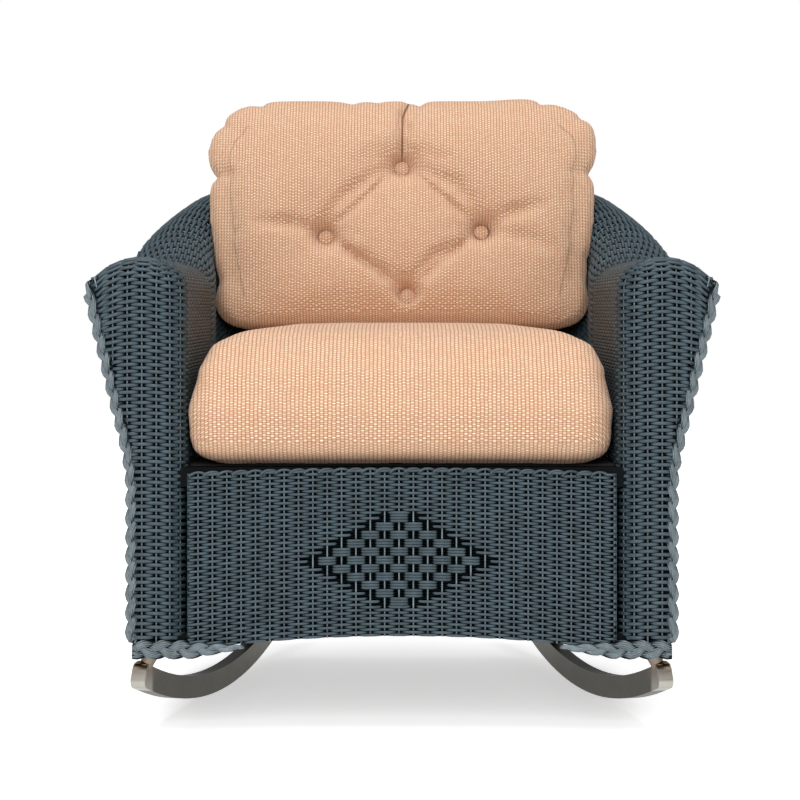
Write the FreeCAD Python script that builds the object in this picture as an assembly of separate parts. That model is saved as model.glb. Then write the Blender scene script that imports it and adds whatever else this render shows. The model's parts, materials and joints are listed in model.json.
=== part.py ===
import FreeCAD, Part
import math
import os

# Woven armchair rocker. Millimetres, +Z up, the sitter faces -Y, +X is to the right in the front view.
# The origin is on the floor, under the middle of the chair's own box.
V = FreeCAD.Vector

# Overall
overall_depth = 800.0
front_y = -overall_depth / 2
fit = 0.3
lay = 0.8
overrun = 5.0

# Plan of the inner wall at deck height, measured back from the front of the arms
seat_half_width = 290.0
seat_depth = 592.0
barrel_radius = 130.0
shoulder_length = 82.0
arm_length = seat_depth - barrel_radius - shoulder_length

# Woven wall, cut across: d is the reach outwards from the inner wall, z is the height
wall = 8.0
deck_z = 358.0
arm_wall_top = 595.0
back_rise = 163.5
back_lean = 80.0
roll_radius = 40.0
crown_start_deg = 28.0
rim_reach_arm = 119.0
rim_reach_back = 158.0
rim_drop = 15.0
front_edge_radius = 38.0
rim_gap = 10.0
low_reach = 65.5
flare_z = 357.0
hem_z = 110.0
arm_front_hem_z = 126.0

# The climb of the rim from the end of the arm to the middle of the back
corner_steps = 6
climb_shares = [0.0, 0.06, 0.17, 0.33, 0.53, 0.73, 0.87, 0.93, 0.965, 0.985, 1.0]

# Braid
braid_width = 26.0
braid_thick = 10.0
hem_braid_height = 21.7
hem_braid_tail = 84.0
hem_braid_tip = 3.0

# Front skirt
skirt_side_gap = 3.0
skirt_half_width = seat_half_width - skirt_side_gap
skirt_set_back = 6.0
skirt_top_z = 351.0
skirt_top_crown = 6.0
skirt_hem_side_z = 115.0
skirt_hem_arch = 19.0

# Welded frame
rail = 25.0
rail_inner_reach = 7.7
tube_radius = 11.0
rod_radius = 6.0
rim_rail_radius = 9.0
post_reach = 46.0
post_x = seat_half_width + post_reach
post_y = 30.0
base_rail_z = 124.0
post_top_z = 612.0
stay_spread = 120.0

# Seat straps
strap_width = 46.0
strap_gap = 14.0
strap_thick = 2.5
strap_count = 9

# Runners
runner_radius = 1150.0
runner_depth = 32.0
runner_width = 20.0
runner_straight = 45.0
runner_nose_y = 5.0
runner_nose_reach = 64.0
runner_nose_x = seat_half_width + runner_nose_reach
runner_toe_in = 0.21
runner_nose_round = 11.0
balance_y = 383.5
stub_top_radius = 12.0
stub_foot_radius = 8.5
stub_top_z = 109.5
rear_stub_height = 38.0
weld_radius = 2.5

# Seat cushion
seat_cushion_gap = 2.0
seat_cushion_thick = 185.0
seat_cushion_front_round = 46.0
seat_widest_share = 0.4
seat_crown_shares = [0.35, 0.1]
seat_section_degs = [88.0, 80.0, 67.0, 50.0, 30.0]

# Back cushion, measured along its lean
back_cushion_thick = 172.0
back_cushion_low_half = 281.0
back_cushion_high_half = 299.0
back_cushion_height = 372.0
back_low_round = 70.0
back_high_round = 95.0
back_widest_share = 0.62
back_height_inset_share = 0.5
back_depth_shares = [0.0, 0.02, 0.06, 0.12, 0.2, 0.3, 0.42, 0.535, 0.65, 0.77, 0.88, 0.96, 1.0]
back_inset_shares = [0.6, 0.42, 0.27, 0.14, 0.045, 0.0, 0.028, 0.066, 0.118, 0.196, 0.3, 0.41, 0.52]

# Covers, fill, buttons and tufts. A button's place is across the cushion and up from its foot.
cover_thick = 2.5
button_radius = 11.0
button_thick = 6.0
seat_steps = 8
top_button_up = 257.0
left_button_side = 120.0
left_button_up = 145.0
right_button_side = 125.0
right_button_up = 153.0
low_button_side = 8.0
low_button_up = 51.0
top_button = (0.0, top_button_up)
left_button = (-left_button_side, left_button_up)
right_button = (right_button_side, right_button_up)
low_button = (low_button_side, low_button_up)
tuft_depth = 34.0
tuft_flare = 60.0
tuft_bend_shares = (0.27, 0.27)
rear_tuft_radius = 13.0
rear_tuft_depth = 40.0
twine_radius = 1.0
fold_half_width = 15.0
fold_depth = 15.0
fold_ahead = 12.0
pleat_floor = 19.0
pleat_end_depth = 62.0
top_pleat_side = 22.0
low_pleat_side = 6.0
top_pleat = (top_pleat_side, back_cushion_height)
low_pleat = (low_pleat_side, 0.0)


def at(x, back, z):
    """A point, by its distance back from the front of the arms."""
    return V(x, front_y + back, z)


def line(a, b):
    return Part.LineSegment(a, b).toShape()


def arc(a, b, c):
    return Part.Arc(a, b, c).toShape()


def polygon(points):
    return Part.Face(Part.makePolygon(points + [points[0]]))


def block(low, high):
    return Part.makeBox(high.x - low.x, high.y - low.y, high.z - low.z, low)


def mirrored(shape):
    return shape.mirror(V(0, 0, 0), V(1, 0, 0))


def loft(wires):
    return Part.makeLoft(wires, True, False)


def banded(wires):
    """A form in straight bands from outline to outline."""
    return Part.makeLoft(wires, True, True)


def largest(shape):
    return max(shape.Solids, key=lambda solid: solid.Volume)


def hollow(outer, inner):
    """A closed cover: the outer solid with the inner one left empty."""
    inside = inner.Shells[0].copy()
    inside.reverse()
    return Part.makeSolid(Part.makeCompound([outer.Shells[0], inside]))


def save(node, shape):
    shape.exportStep("parts/" + node + ".step")


# Stations: places along the inner wall's plan, each with its outward direction and its share of the climb
def station(x, back, angle_deg, climb_share):
    angle = math.radians(angle_deg)
    return {
        "base": (x, back),
        "out": (math.cos(angle), math.sin(angle)),
        "climb": climb_share,
        "lean": angle_deg / 90.0,
    }


def half_stations():
    """From the rear end of the right arm to the middle of the back."""
    corner_x = seat_half_width - barrel_radius
    corner_back = seat_depth - barrel_radius
    places = [
        (seat_half_width, arm_length, 0.0),
        (seat_half_width, (arm_length + corner_back) / 2, 0.0),
    ]
    for step in range(corner_steps + 1):
        angle = 90.0 * step / corner_steps
        x = corner_x + barrel_radius * math.cos(math.radians(angle))
        back = corner_back + barrel_radius * math.sin(math.radians(angle))
        places.append((x, back, angle))
    places.append((corner_x / 2, seat_depth, 90.0))
    places.append((0.0, seat_depth, 90.0))
    return [station(*place, share) for place, share in zip(places, climb_shares)]


def all_stations():
    right = half_stations()
    left = []
    for stop in reversed(right[:-1]):
        other = dict(stop)
        other["base"] = (-stop["base"][0], stop["base"][1])
        other["out"] = (-stop["out"][0], stop["out"][1])
        left.append(other)
    return right + left


def place(stop, d, z):
    x, back = stop["base"]
    ox, oy = stop["out"]
    return at(x + ox * d, back + oy * d, z)


def wall_section(stop):
    """Key points of the woven wall's cut, as (d, z), with the arcs of its roll and its crown."""
    top_z = arm_wall_top + back_rise * stop["climb"]
    lean = back_lean * stop["lean"]
    tilt = math.atan2(lean, top_z - deck_z)
    start = math.radians(crown_start_deg)
    centre = (lean + roll_radius * math.cos(tilt), top_z - roll_radius * math.sin(tilt))
    end = (centre[0] - roll_radius * math.sin(start), centre[1] + roll_radius * math.cos(start))
    reach = rim_reach_arm + (rim_reach_back - rim_reach_arm) * stop["lean"]
    rim = (reach, top_z + rim_drop)
    run = rim[0] - end[0]
    fall = end[1] - rim[1]
    turn = start + math.atan2(fall, run)
    crown_radius = math.hypot(run, fall) / (2 * math.sin(turn))
    crown_centre = (end[0] + crown_radius * math.sin(start), end[1] - crown_radius * math.cos(start))
    return {
        "tilt": tilt,
        "top": (lean, top_z),
        "roll": (centre, roll_radius, math.pi - tilt, math.pi / 2 + start),
        "crown": (crown_centre, crown_radius, math.pi / 2 + start, math.pi / 2 + start - 2 * turn),
        "rim": rim,
    }


def on_arc(arc_data, share, inset):
    (cx, cz), radius, first, last = arc_data
    angle = first + (last - first) * share
    return (cx + (radius - inset) * math.cos(angle), cz + (radius - inset) * math.sin(angle))


def wall_line(section, z, inset):
    """A point of the inner wall at height z, moved into the wall by inset."""
    tilt = section["tilt"]
    top = section["top"]
    d = top[0] - (top[1] - z) * math.tan(tilt)
    return (d + inset / math.cos(tilt), z)


def inner_edges(stop, foot_z, inset):
    """The inner wall, roll and crown as one run of three edges, and the points at its two ends."""
    section = wall_section(stop)
    foot = place(stop, *wall_line(section, foot_z, inset))
    points = [place(stop, *on_arc(section["roll"], share, inset)) for share in (0.0, 0.5, 1.0)]
    crown = [place(stop, *on_arc(section["crown"], share, inset)) for share in (0.0, 0.5, 1.0)]
    edges = [line(foot, points[0]), arc(*points), arc(*crown)]
    return edges, foot, crown[2]


def woven_inner_wire(stop):
    outer, foot, rim = inner_edges(stop, deck_z + fit, 0.0)
    inner, foot_in, rim_in = inner_edges(stop, deck_z + fit, wall)
    inner.reverse()
    return Part.Wire(outer + [line(rim, rim_in)] + inner + [line(foot_in, foot)])


def outer_points(stop, inset, top_gap):
    """The outer wall from under the rim down to the hem."""
    section = wall_section(stop)
    rim = section["rim"]
    run = rim[0] - low_reach
    rise = rim[1] - flare_z
    length = math.hypot(run, rise)
    out = (rise / length, -run / length)
    along = (run / length, rise / length)
    top = (rim[0] - out[0] * inset - along[0] * top_gap, rim[1] - out[1] * inset - along[1] * top_gap)
    bend = (low_reach - inset, flare_z)
    hem = (low_reach - inset, hem_z)
    return top, bend, hem


def woven_outer_wire(stop):
    top, bend, hem = outer_points(stop, 0.0, rim_gap)
    top_in, bend_in, hem_in = outer_points(stop, wall, rim_gap)
    corners = [place(stop, *p) for p in (top, bend, hem, hem_in, bend_in, top_in)]
    return Part.makePolygon(corners + [corners[0]])


def braid_wire(stop):
    near = outer_points(stop, -2 * lay, lay)[0]
    far = outer_points(stop, -braid_thick, lay)[0]
    near_low = outer_points(stop, -2 * lay, braid_width)[0]
    far_low = outer_points(stop, -braid_thick, braid_width)[0]
    corners = [place(stop, *p) for p in (near, far, far_low, near_low)]
    return Part.makePolygon(corners + [corners[0]])


arm_start = station(seat_half_width, 0.0, 0.0, 0.0)


def arm_form(inset, front_radius, beyond):
    """The arm as a block: its front outline run back, with the front edges rounded."""
    edges, foot, rim = inner_edges(arm_start, hem_z - beyond, inset)
    if beyond > 0:
        section = wall_section(arm_start)
        flat = on_arc(section["crown"], 1.0, -2 * wall)
        wide = place(arm_start, flat[0], flat[1])
        low = at(wide.x, 0.0, foot.z)
        rest = [line(rim, wide), line(wide, low), line(low, foot)]
    else:
        top, bend, hem = outer_points(arm_start, 0.0, 0.0)
        corners = [place(arm_start, *p) for p in (bend, hem)]
        rest = [line(rim, corners[0]), line(corners[0], corners[1]), line(corners[1], foot)]
    shift = inset if beyond > 0 else 0.0
    face = Part.Face(Part.Wire(edges + rest))
    face.translate(V(0, shift, 0))
    form = face.extrude(V(0, arm_length - shift + beyond, 0))
    front = [e for e in form.Edges if e.BoundBox.YLength < fit / 10 and abs(e.BoundBox.YMin - front_y - shift) < fit / 10]
    keep = [e for e in front if is_front_round(e, edges)]
    return form.makeFillet(front_radius, keep)


def is_front_round(edge, edges):
    """True for a front edge that lies over one of the inner wall's edges."""
    middle = edge.valueAt((edge.FirstParameter + edge.LastParameter) / 2)
    for other in edges:
        flat = V(middle.x, other.BoundBox.YMin, middle.z)
        if other.distToShape(Part.Vertex(flat))[0] < fit / 10:
            return True
    return False


def arm_weave():
    form = arm_form(0.0, front_edge_radius, 0.0)
    inside = arm_form(wall, front_edge_radius - wall, overrun)
    shell = form.cut(inside)
    inner_low = block(
        at(seat_half_width - overrun, front_edge_radius, 0.0),
        at(seat_half_width + front_edge_radius, arm_length + overrun, deck_z + fit),
    )
    rail_notch = block(
        at(seat_half_width - overrun, skirt_set_back + wall, deck_z - rail - fit),
        at(seat_half_width + front_edge_radius, front_edge_radius + overrun, deck_z + fit),
    )
    hem = block(
        at(seat_half_width - overrun, -overrun, 0.0),
        at(seat_half_width + low_reach + overrun, arm_length + overrun, arm_front_hem_z),
    )
    return largest(shell.cut([inner_low, rail_notch, hem, skirt_rod(rod_radius + fit)]))


def arm_outer():
    top, bend, hem = outer_points(arm_start, 0.0, rim_gap)
    top_in, bend_in, hem_in = outer_points(arm_start, wall, rim_gap)
    face = polygon([place(arm_start, *p) for p in (top, bend, hem, hem_in, bend_in, top_in)])
    face.translate(V(0, wall + fit, 0))
    return face.extrude(V(0, arm_length - wall - fit, 0))


def arm_braid():
    """The braid that stands along the front edge of the arm's outer side."""
    near = outer_points(arm_start, -fit, 0.0)
    far = outer_points(arm_start, -braid_thick, 0.0)
    lift = arm_front_hem_z - hem_z
    near_low = (near[2][0], near[2][1] + lift)
    far_low = (far[2][0], far[2][1] + lift)
    outline = [near[0], far[0], far[1], far_low, near_low, near[1]]
    return polygon([place(arm_start, *p) for p in outline]).extrude(V(0, braid_width, 0))


def arm_rim_braid():
    face = Part.Face(braid_wire(arm_start))
    face.translate(V(0, braid_width, 0))
    return face.extrude(V(0, arm_length - braid_width, 0))


def hem_braid():
    """The braid that closes the foot of the arm front and runs out under the skirt."""
    outer_x = seat_half_width + low_reach + braid_thick
    inner_x = skirt_half_width + wall + fit
    top_z = arm_front_hem_z - fit
    low_z = top_z - hem_braid_height
    bar = block(at(inner_x, 0.0, low_z), at(outer_x, wall, top_z))
    skirt_z = skirt_hem_side_z - fit
    tail = polygon([
        at(inner_x, 0.0, low_z),
        at(inner_x, 0.0, skirt_z),
        at(inner_x - hem_braid_tail, 0.0, skirt_z),
        at(inner_x - hem_braid_tail, 0.0, skirt_z - hem_braid_tip),
    ]).extrude(V(0, wall, 0))
    return bar.fuse(tail).removeSplitter()


def front_skirt():
    low = skirt_hem_side_z
    side = skirt_half_width
    y = skirt_set_back
    outline = Part.Wire([
        arc(at(-side, y, low), at(0, y, low + skirt_hem_arch), at(side, y, low)),
        line(at(side, y, low), at(side, y, skirt_top_z)),
        arc(at(side, y, skirt_top_z), at(0, y, skirt_top_z + skirt_top_crown), at(-side, y, skirt_top_z)),
        line(at(-side, y, skirt_top_z), at(-side, y, low)),
    ])
    return Part.Face(outline).extrude(V(0, wall, 0))


# Frame
def rod(a, b, radius):
    return Part.makeCylinder(radius, a.distanceToPoint(b), a, b - a)


def plan_path(reach, z, front_back):
    """The inner wall's plan, moved outwards by reach, from the right front round to the left front."""
    x = seat_half_width + reach
    corner = seat_half_width - barrel_radius
    back = seat_depth - barrel_radius
    radius = barrel_radius + reach
    half = radius * math.sqrt(0.5)
    return Part.Wire([
        line(at(x, front_back, z), at(x, back, z)),
        arc(at(x, back, z), at(corner + half, back + half, z), at(corner, back + radius, z)),
        line(at(corner, back + radius, z), at(-corner, back + radius, z)),
        arc(at(-corner, back + radius, z), at(-corner - half, back + half, z), at(-x, back, z)),
        line(at(-x, back, z), at(-x, front_back, z)),
    ])


def pipe(path, profile):
    return path.makePipeShell([profile], True, False)


def ring(centre, direction, radius):
    return Part.Wire([Part.Circle(centre, direction, radius).toShape()])


def seat_bow():
    """The bent square tube under the foot of the inner wall."""
    reach = rail / 2 - rail_inner_reach
    front_back = skirt_set_back + wall + fit + rail + fit
    z = deck_z - rail / 2
    path = plan_path(reach, z, front_back)
    x = seat_half_width + reach
    half = rail / 2
    profile = Part.makePolygon([
        at(x - half, front_back, z - half), at(x + half, front_back, z - half),
        at(x + half, front_back, z + half), at(x - half, front_back, z + half),
        at(x - half, front_back, z - half),
    ])
    return pipe(path, profile)


def seat_front_rail():
    side = post_x - tube_radius - fit
    back = skirt_set_back + wall + fit
    return block(at(-side, back, deck_z - rail), at(side, back + rail, deck_z))


def base_rail():
    reach = base_rail_reach()
    start = post_y + tube_radius + fit
    path = plan_path(reach, base_rail_z, start)
    return pipe(path, ring(at(seat_half_width + reach, start, base_rail_z), V(0, 1, 0), rod_radius))


def skirt_rod(radius):
    """The arched rod behind the skirt's hem, from post to post."""
    side = post_x - tube_radius - lay
    back = skirt_set_back + wall + fit + rod_radius
    low = skirt_hem_side_z + 2 * rod_radius
    path = Part.Wire([arc(at(-side, back, low), at(0, back, low + skirt_hem_arch), at(side, back, low))])
    start = path.Edges[0]
    direction = start.tangentAt(start.FirstParameter)
    return pipe(path, ring(start.valueAt(start.FirstParameter), direction, radius))


def rim_rail_centre(stop, radius):
    """The rail lies inside the roll, over the front post."""
    (cx, cz), roll, first, last = wall_section(stop)["roll"]
    across = post_x - seat_half_width - roll_radius
    reach = roll - wall - lay - radius
    return (cx + across, cz + math.sqrt(reach ** 2 - across ** 2))


def rail_direction(stops, index):
    """The rail's run at a station, square to the arms at its two ends."""
    last = len(stops) - 1
    if index == 0:
        return V(0, 1, 0)
    if index == last:
        return V(0, -1, 0)
    before = stops[index - 1]
    after = stops[index + 1]
    return place(after, *rim_rail_centre(after, rim_rail_radius)) - place(before, *rim_rail_centre(before, rim_rail_radius))


def back_rim_rail(stops):
    rings = []
    for index, stop in enumerate(stops):
        circle = Part.Circle(V(0, 0, 0), V(0, 0, 1), rim_rail_radius).toShape()
        out = V(stop["out"][0], stop["out"][1], 0)
        turn = FreeCAD.Rotation(out, V(0, 0, 1), rail_direction(stops, index), "ZXY")
        circle.Placement = FreeCAD.Placement(place(stop, *rim_rail_centre(stop, rim_rail_radius)), turn)
        rings.append(Part.Wire([circle]))
    return banded(rings)


def arm_rail():
    d, z = rim_rail_centre(arm_start, rim_rail_radius)
    start = at(seat_half_width + d, post_y + tube_radius + fit, z)
    return rod(start, at(seat_half_width + d, arm_length, z), rim_rail_radius)


def front_post():
    low = at(post_x - tube_radius, post_y - tube_radius, stub_top_z)
    return block(low, at(post_x + tube_radius, post_y + tube_radius, post_top_z))


def back_stay(x):
    """A tube inside the back, from the deck's bow up to the rim's rail."""
    corner_stop, middle_stop = half_stations()[-3], half_stations()[-1]
    away = abs(x) / corner_stop["base"][0]
    stop = dict(middle_stop)
    stop["climb"] = middle_stop["climb"] + (corner_stop["climb"] - middle_stop["climb"]) * away
    foot = wall_line(wall_section(stop), deck_z + rod_radius / 3, wall + fit + rod_radius)
    head = rim_rail_centre(stop, rim_rail_radius)
    top_z = head[1] - rim_rail_radius - lay
    return rod(at(x, seat_depth + foot[0], foot[1]), at(x, seat_depth + head[0], top_z), rod_radius)


def rear_leg_place():
    """Under the corner of the deck's bow, over the runner."""
    corner_x = seat_half_width - barrel_radius
    corner_back = seat_depth - barrel_radius
    reach = barrel_radius + rail / 2 - rail_inner_reach
    back = corner_back + reach * math.sqrt(0.5)
    return (corner_x + reach * math.sqrt(0.5) + runner_x(back)) / 2, back


def rear_leg():
    x, back = rear_leg_place()
    return rod(at(x, back, rear_stub_top(back)), at(x, back, deck_z - rail - fit), tube_radius)


def rear_stub_top(back):
    return runner_top(back) + rear_stub_height


def rear_brace():
    """A short rod from the rear leg out to the base rail."""
    x, back = rear_leg_place()
    corner = at(seat_half_width - barrel_radius, seat_depth - barrel_radius, base_rail_z)
    leg = at(x, back, base_rail_z)
    out = leg - corner
    out.normalize()
    reach = barrel_radius + base_rail_reach() - rod_radius - fit
    return rod(leg, corner + out * reach, rod_radius).cut(rear_leg())


def base_rail_reach():
    return low_reach - wall - fit - rod_radius


# Runners
def runner_x(back):
    return runner_nose_x - runner_toe_in * (back - runner_nose_y)


def runner_height(along):
    """The height of the runner's underside, along its own plane from the balance point."""
    nose = nose_along()
    straight_start = nose + runner_straight
    if along < straight_start:
        rise = runner_radius - math.sqrt(runner_radius ** 2 - straight_start ** 2)
        slope = straight_start / math.sqrt(runner_radius ** 2 - straight_start ** 2)
        return rise + slope * (along - straight_start)
    return runner_radius - math.sqrt(runner_radius ** 2 - along ** 2)


def nose_along():
    return -(balance_y - runner_nose_y) * math.hypot(1.0, runner_toe_in)


def tail_along():
    return (overall_depth - balance_y - tail_clear()) * math.hypot(1.0, runner_toe_in)


def tail_clear():
    """How far the tail's own width and square end reach back past its middle line."""
    turn = math.hypot(1.0, runner_toe_in)
    return runner_width / 2 * runner_toe_in / turn


def runner():
    nose = nose_along()
    bend = nose + runner_straight
    tail = tail_along()
    inner = runner_radius - runner_depth

    def low(s):
        return V(0, s, runner_height(s))

    def on(radius, angle):
        return V(0, radius * math.sin(angle), runner_radius - radius * math.cos(angle))

    bend_angle = math.asin(bend / runner_radius)
    tail_angle = math.asin(tail / runner_radius)
    slope = V(0, math.cos(bend_angle), math.sin(bend_angle))
    up = V(0, -math.sin(bend_angle), math.cos(bend_angle))
    bend_low = on(runner_radius, bend_angle)
    bend_high = on(inner, bend_angle)
    nose_low = low(nose)
    nose_high = bend_high - slope * runner_straight
    r = runner_nose_round
    middle = (bend_angle + tail_angle) / 2
    quarter = r * (1 - math.sqrt(0.5))
    start_low = nose_low + slope * r
    start_high = nose_high + slope * r
    face_low = nose_low + up * r
    face_high = nose_high - up * r
    edges = [
        arc(face_low, nose_low + (slope + up) * quarter, start_low),
        line(start_low, bend_low),
        arc(bend_low, on(runner_radius, middle), on(runner_radius, tail_angle)),
        line(on(runner_radius, tail_angle), on(inner, tail_angle)),
        arc(on(inner, tail_angle), on(inner, middle), bend_high),
        line(bend_high, start_high),
        arc(start_high, nose_high + (slope - up) * quarter, face_high),
        line(face_high, face_low),
    ]
    bar = Part.Face(Part.Wire(edges)).extrude(V(runner_width, 0, 0))
    bar.translate(V(-runner_width / 2, 0, 0))
    bar.rotate(V(0, 0, 0), V(0, 0, 1), math.degrees(math.atan(runner_toe_in)))
    bar.translate(at(runner_x(balance_y), balance_y, 0.0))
    return bar


def runner_top(back):
    along = (back - balance_y) * math.hypot(1.0, runner_toe_in)
    bend = nose_along() + runner_straight
    inner = runner_radius - runner_depth
    if along < bend:
        angle = math.asin(bend / runner_radius)
        start = inner * math.sin(angle)
        return runner_radius - inner * math.cos(angle) + math.tan(angle) * (along - start)
    return runner_radius - math.sqrt(inner ** 2 - along ** 2)


def stub(x, back, top_z, bar):
    """The tapered foot of a leg, cut to the runner's top."""
    foot_z = runner_top(back) - stub_foot_radius
    leg = loft([
        ring(at(runner_x(back), back, foot_z), V(0, 0, 1), stub_foot_radius),
        ring(at(x, back, top_z - fit), V(0, 0, 1), stub_top_radius),
    ])
    return max(leg.cut(bar).Solids, key=lambda solid: solid.CenterOfMass.z)


def weld_bead(back, leg, bar):
    """A rounded bead of weld round the foot of a leg, on the runner's top."""
    foot = at(runner_x(back), back, runner_top(back))
    ahead = at(runner_x(back + weld_radius), back + weld_radius, runner_top(back + weld_radius))
    across = V(1, runner_toe_in, 0)
    normal = across.cross(ahead - foot)
    if normal.z < 0:
        normal = normal * -1
    normal.normalize()
    outer_radius = stub_foot_radius + 2 * weld_radius
    height = 2 * weld_radius
    bead = Part.makeCone(outer_radius, stub_foot_radius, height, foot - normal * fit, normal)
    return largest(bead.cut(leg).cut(bar))


# Seat straps
def seat_straps():
    straps = []
    pitch = strap_width + strap_gap
    start = skirt_set_back + wall + 2 * fit + rail + strap_gap
    corner_back = seat_depth - barrel_radius
    for index in range(strap_count):
        near = start + pitch * index
        far = near + strap_width
        reach = seat_half_width
        if far > corner_back:
            inside = min(far - corner_back, barrel_radius)
            reach = seat_half_width - barrel_radius + math.sqrt(barrel_radius ** 2 - inside ** 2)
        side = reach - 3 * lay
        straps.append(block(at(-side, near, deck_z), at(side, far, deck_z + strap_thick)))
    return Part.makeCompound(straps)


# Cushions
def seat_outline(inset, z):
    gap = seat_cushion_gap
    side = seat_half_width - gap - inset
    front = gap + inset
    rear = seat_depth - gap - inset
    front_r = max(seat_cushion_front_round - inset / 2, seat_cushion_front_round / 3)
    rear_r = max(barrel_radius - gap - inset / 2, front_r)
    rear_r = min(rear_r, side - gap)
    front_r = min(front_r, side - gap)
    q = math.sqrt(0.5)

    def corner(cx, cy, r, sx, sy):
        return at(cx + sx * r * q, cy + sy * r * q, z)

    fl = front + front_r
    rl = rear - rear_r
    xf = side - front_r
    xr = side - rear_r
    return Part.Wire([
        line(at(-xf, front, z), at(xf, front, z)),
        arc(at(xf, front, z), corner(xf, fl, front_r, 1, -1), at(side, fl, z)),
        line(at(side, fl, z), at(side, rl, z)),
        arc(at(side, rl, z), corner(xr, rl, rear_r, 1, 1), at(xr, rear, z)),
        line(at(xr, rear, z), at(-xr, rear, z)),
        arc(at(-xr, rear, z), corner(-xr, rl, rear_r, -1, 1), at(-side, rl, z)),
        line(at(-side, rl, z), at(-side, fl, z)),
        arc(at(-side, fl, z), corner(-xf, fl, front_r, -1, -1), at(-xf, front, z)),
    ])


def seat_form(shrink):
    """The seat cushion: full sides, a flat underside and a crowned top, drawn in by shrink all round."""
    low = deck_z + strap_thick + fit + shrink
    thick = seat_cushion_thick - 2 * shrink
    half = seat_half_width - seat_cushion_gap
    crown_share, foot_share = seat_crown_shares
    steepest = math.sin(math.radians(seat_section_degs[0]))
    sections = []
    for angle in seat_section_degs:
        rise = math.sin(math.radians(angle)) / steepest
        draw_in = 1 - math.cos(math.radians(angle)) ** foot_share
        sections.append((seat_widest_share * (1 - rise), draw_in))
    sections.append((seat_widest_share, 0.0))
    for angle in reversed(seat_section_degs):
        rise = math.sin(math.radians(angle)) / steepest
        draw_in = 1 - math.cos(math.radians(angle)) ** crown_share
        sections.append((seat_widest_share + (1 - seat_widest_share) * rise, draw_in))
    return banded([seat_outline(half * draw_in + shrink, low + thick * rise) for rise, draw_in in sections])


def back_outline(inset, depth):
    """The back cushion's outline at a depth from its front, in its own frame: x, depth, height."""
    low = back_cushion_low_half - inset
    high = back_cushion_high_half - inset
    foot = inset * back_height_inset_share
    top = back_cushion_height - inset * back_height_inset_share
    low_r = back_low_round - inset * back_height_inset_share * back_low_round / back_cushion_low_half
    high_r = back_high_round - inset * back_height_inset_share * back_high_round / back_cushion_low_half
    side = low + (high - low) * back_widest_share
    middle = foot + low_r + (top - high_r - foot - low_r) / 2
    q = 1 - math.sqrt(0.5)

    def p(x, height):
        return V(x, depth, height)

    def half(sign):
        foot_corner = arc(
            p(sign * (low - low_r), foot),
            p(sign * (low - low_r * q), foot + low_r * q),
            p(sign * low, foot + low_r),
        )
        flank = arc(p(sign * low, foot + low_r), p(sign * side, middle), p(sign * high, top - high_r))
        top_corner = arc(
            p(sign * high, top - high_r),
            p(sign * (high - high_r * q), top - high_r * q),
            p(sign * (high - high_r), top),
        )
        return [foot_corner, flank, top_corner]

    left = half(-1)
    left.reverse()
    foot_line = line(p(low_r - low, foot), p(low - low_r, foot))
    top_line = line(p(high - high_r, top), p(high_r - high, top))
    return Part.Wire([foot_line] + half(1) + [top_line] + left)


def back_form(shrink):
    thick = back_cushion_thick - 2 * shrink
    wires = []
    for depth_share, inset_share in zip(back_depth_shares, back_inset_shares):
        inset = back_cushion_low_half * inset_share + shrink
        wires.append(back_outline(inset, shrink + thick * depth_share))
    return banded(wires)


def tuft(button, grow):
    """The dimple that a button draws into the front, widened by grow for the fill behind the cover."""
    floor = tuft_depth + grow
    throat = button_radius + fit + grow
    flare = tuft_flare + grow
    bend_r, bend_t = tuft_bend_shares
    middle = V(throat + (flare - throat) * bend_r, floor * bend_t, 0)
    outline = Part.Wire([
        line(V(0, floor, 0), V(throat, floor, 0)),
        arc(V(throat, floor, 0), middle, V(flare, grow, 0)),
        line(V(flare, grow, 0), V(flare, -fold_ahead, 0)),
        line(V(flare, -fold_ahead, 0), V(0, -fold_ahead, 0)),
        line(V(0, -fold_ahead, 0), V(0, floor, 0)),
    ])
    cut = Part.Face(outline).revolve(V(0, 0, 0), V(0, 1, 0), 360)
    cut.translate(V(button[0], 0, button[1]))
    return cut


def fold(start, end, depths, grow):
    """A crease in the front from start to end, as deep at its ends and middle as depths says."""
    run = V(end[0] - start[0], 0, end[1] - start[1])
    side = V(run.z, 0, -run.x)
    side.normalize()
    wires = []
    for share, depth in zip((0.0, 0.5, 1.0), depths):
        centre = V(start[0] + run.x * share, 0, start[1] + run.z * share)
        floor = centre + V(0, depth + grow, 0)
        spread = side * (fold_half_width + grow)
        left = centre - spread + V(0, -fold_ahead, 0)
        right = centre + spread + V(0, -fold_ahead, 0)
        wires.append(Part.makePolygon([floor, left, right, floor]))
    return loft(wires)


def folds(grow):
    deep = tuft_depth - fold_depth / 2
    ring_depths = (deep, fold_depth, deep)
    pleat_depths = (deep, pleat_floor, pleat_end_depth)
    pairs = [
        (top_button, left_button, ring_depths),
        (top_button, right_button, ring_depths),
        (left_button, low_button, ring_depths),
        (right_button, low_button, ring_depths),
        (top_button, top_pleat, pleat_depths),
        (low_button, low_pleat, pleat_depths),
    ]
    return [fold(start, end, depths, grow) for start, end, depths in pairs]


buttons = [top_button, left_button, right_button, low_button]


def rear_pocket(button, grow):
    start = V(button[0], back_cushion_thick - rear_tuft_depth - grow, button[1])
    return Part.makeCylinder(rear_tuft_radius + grow, rear_tuft_depth + overrun + grow, start, V(0, 1, 0))


def twine_hole(button, grow):
    start = V(button[0], 0, button[1])
    return Part.makeCylinder(twine_radius + fit + grow, back_cushion_thick, start, V(0, 1, 0))


def tufted(form, grow):
    """A back cushion form with its dimples, creases, rear pockets and twine holes."""
    shape = form.cut([tuft(b, grow) for b in buttons])
    shape = shape.cut([rear_pocket(b, grow) for b in buttons])
    shape = shape.cut([twine_hole(b, grow) for b in buttons])
    return largest(shape.cut(folds(grow)))


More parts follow.
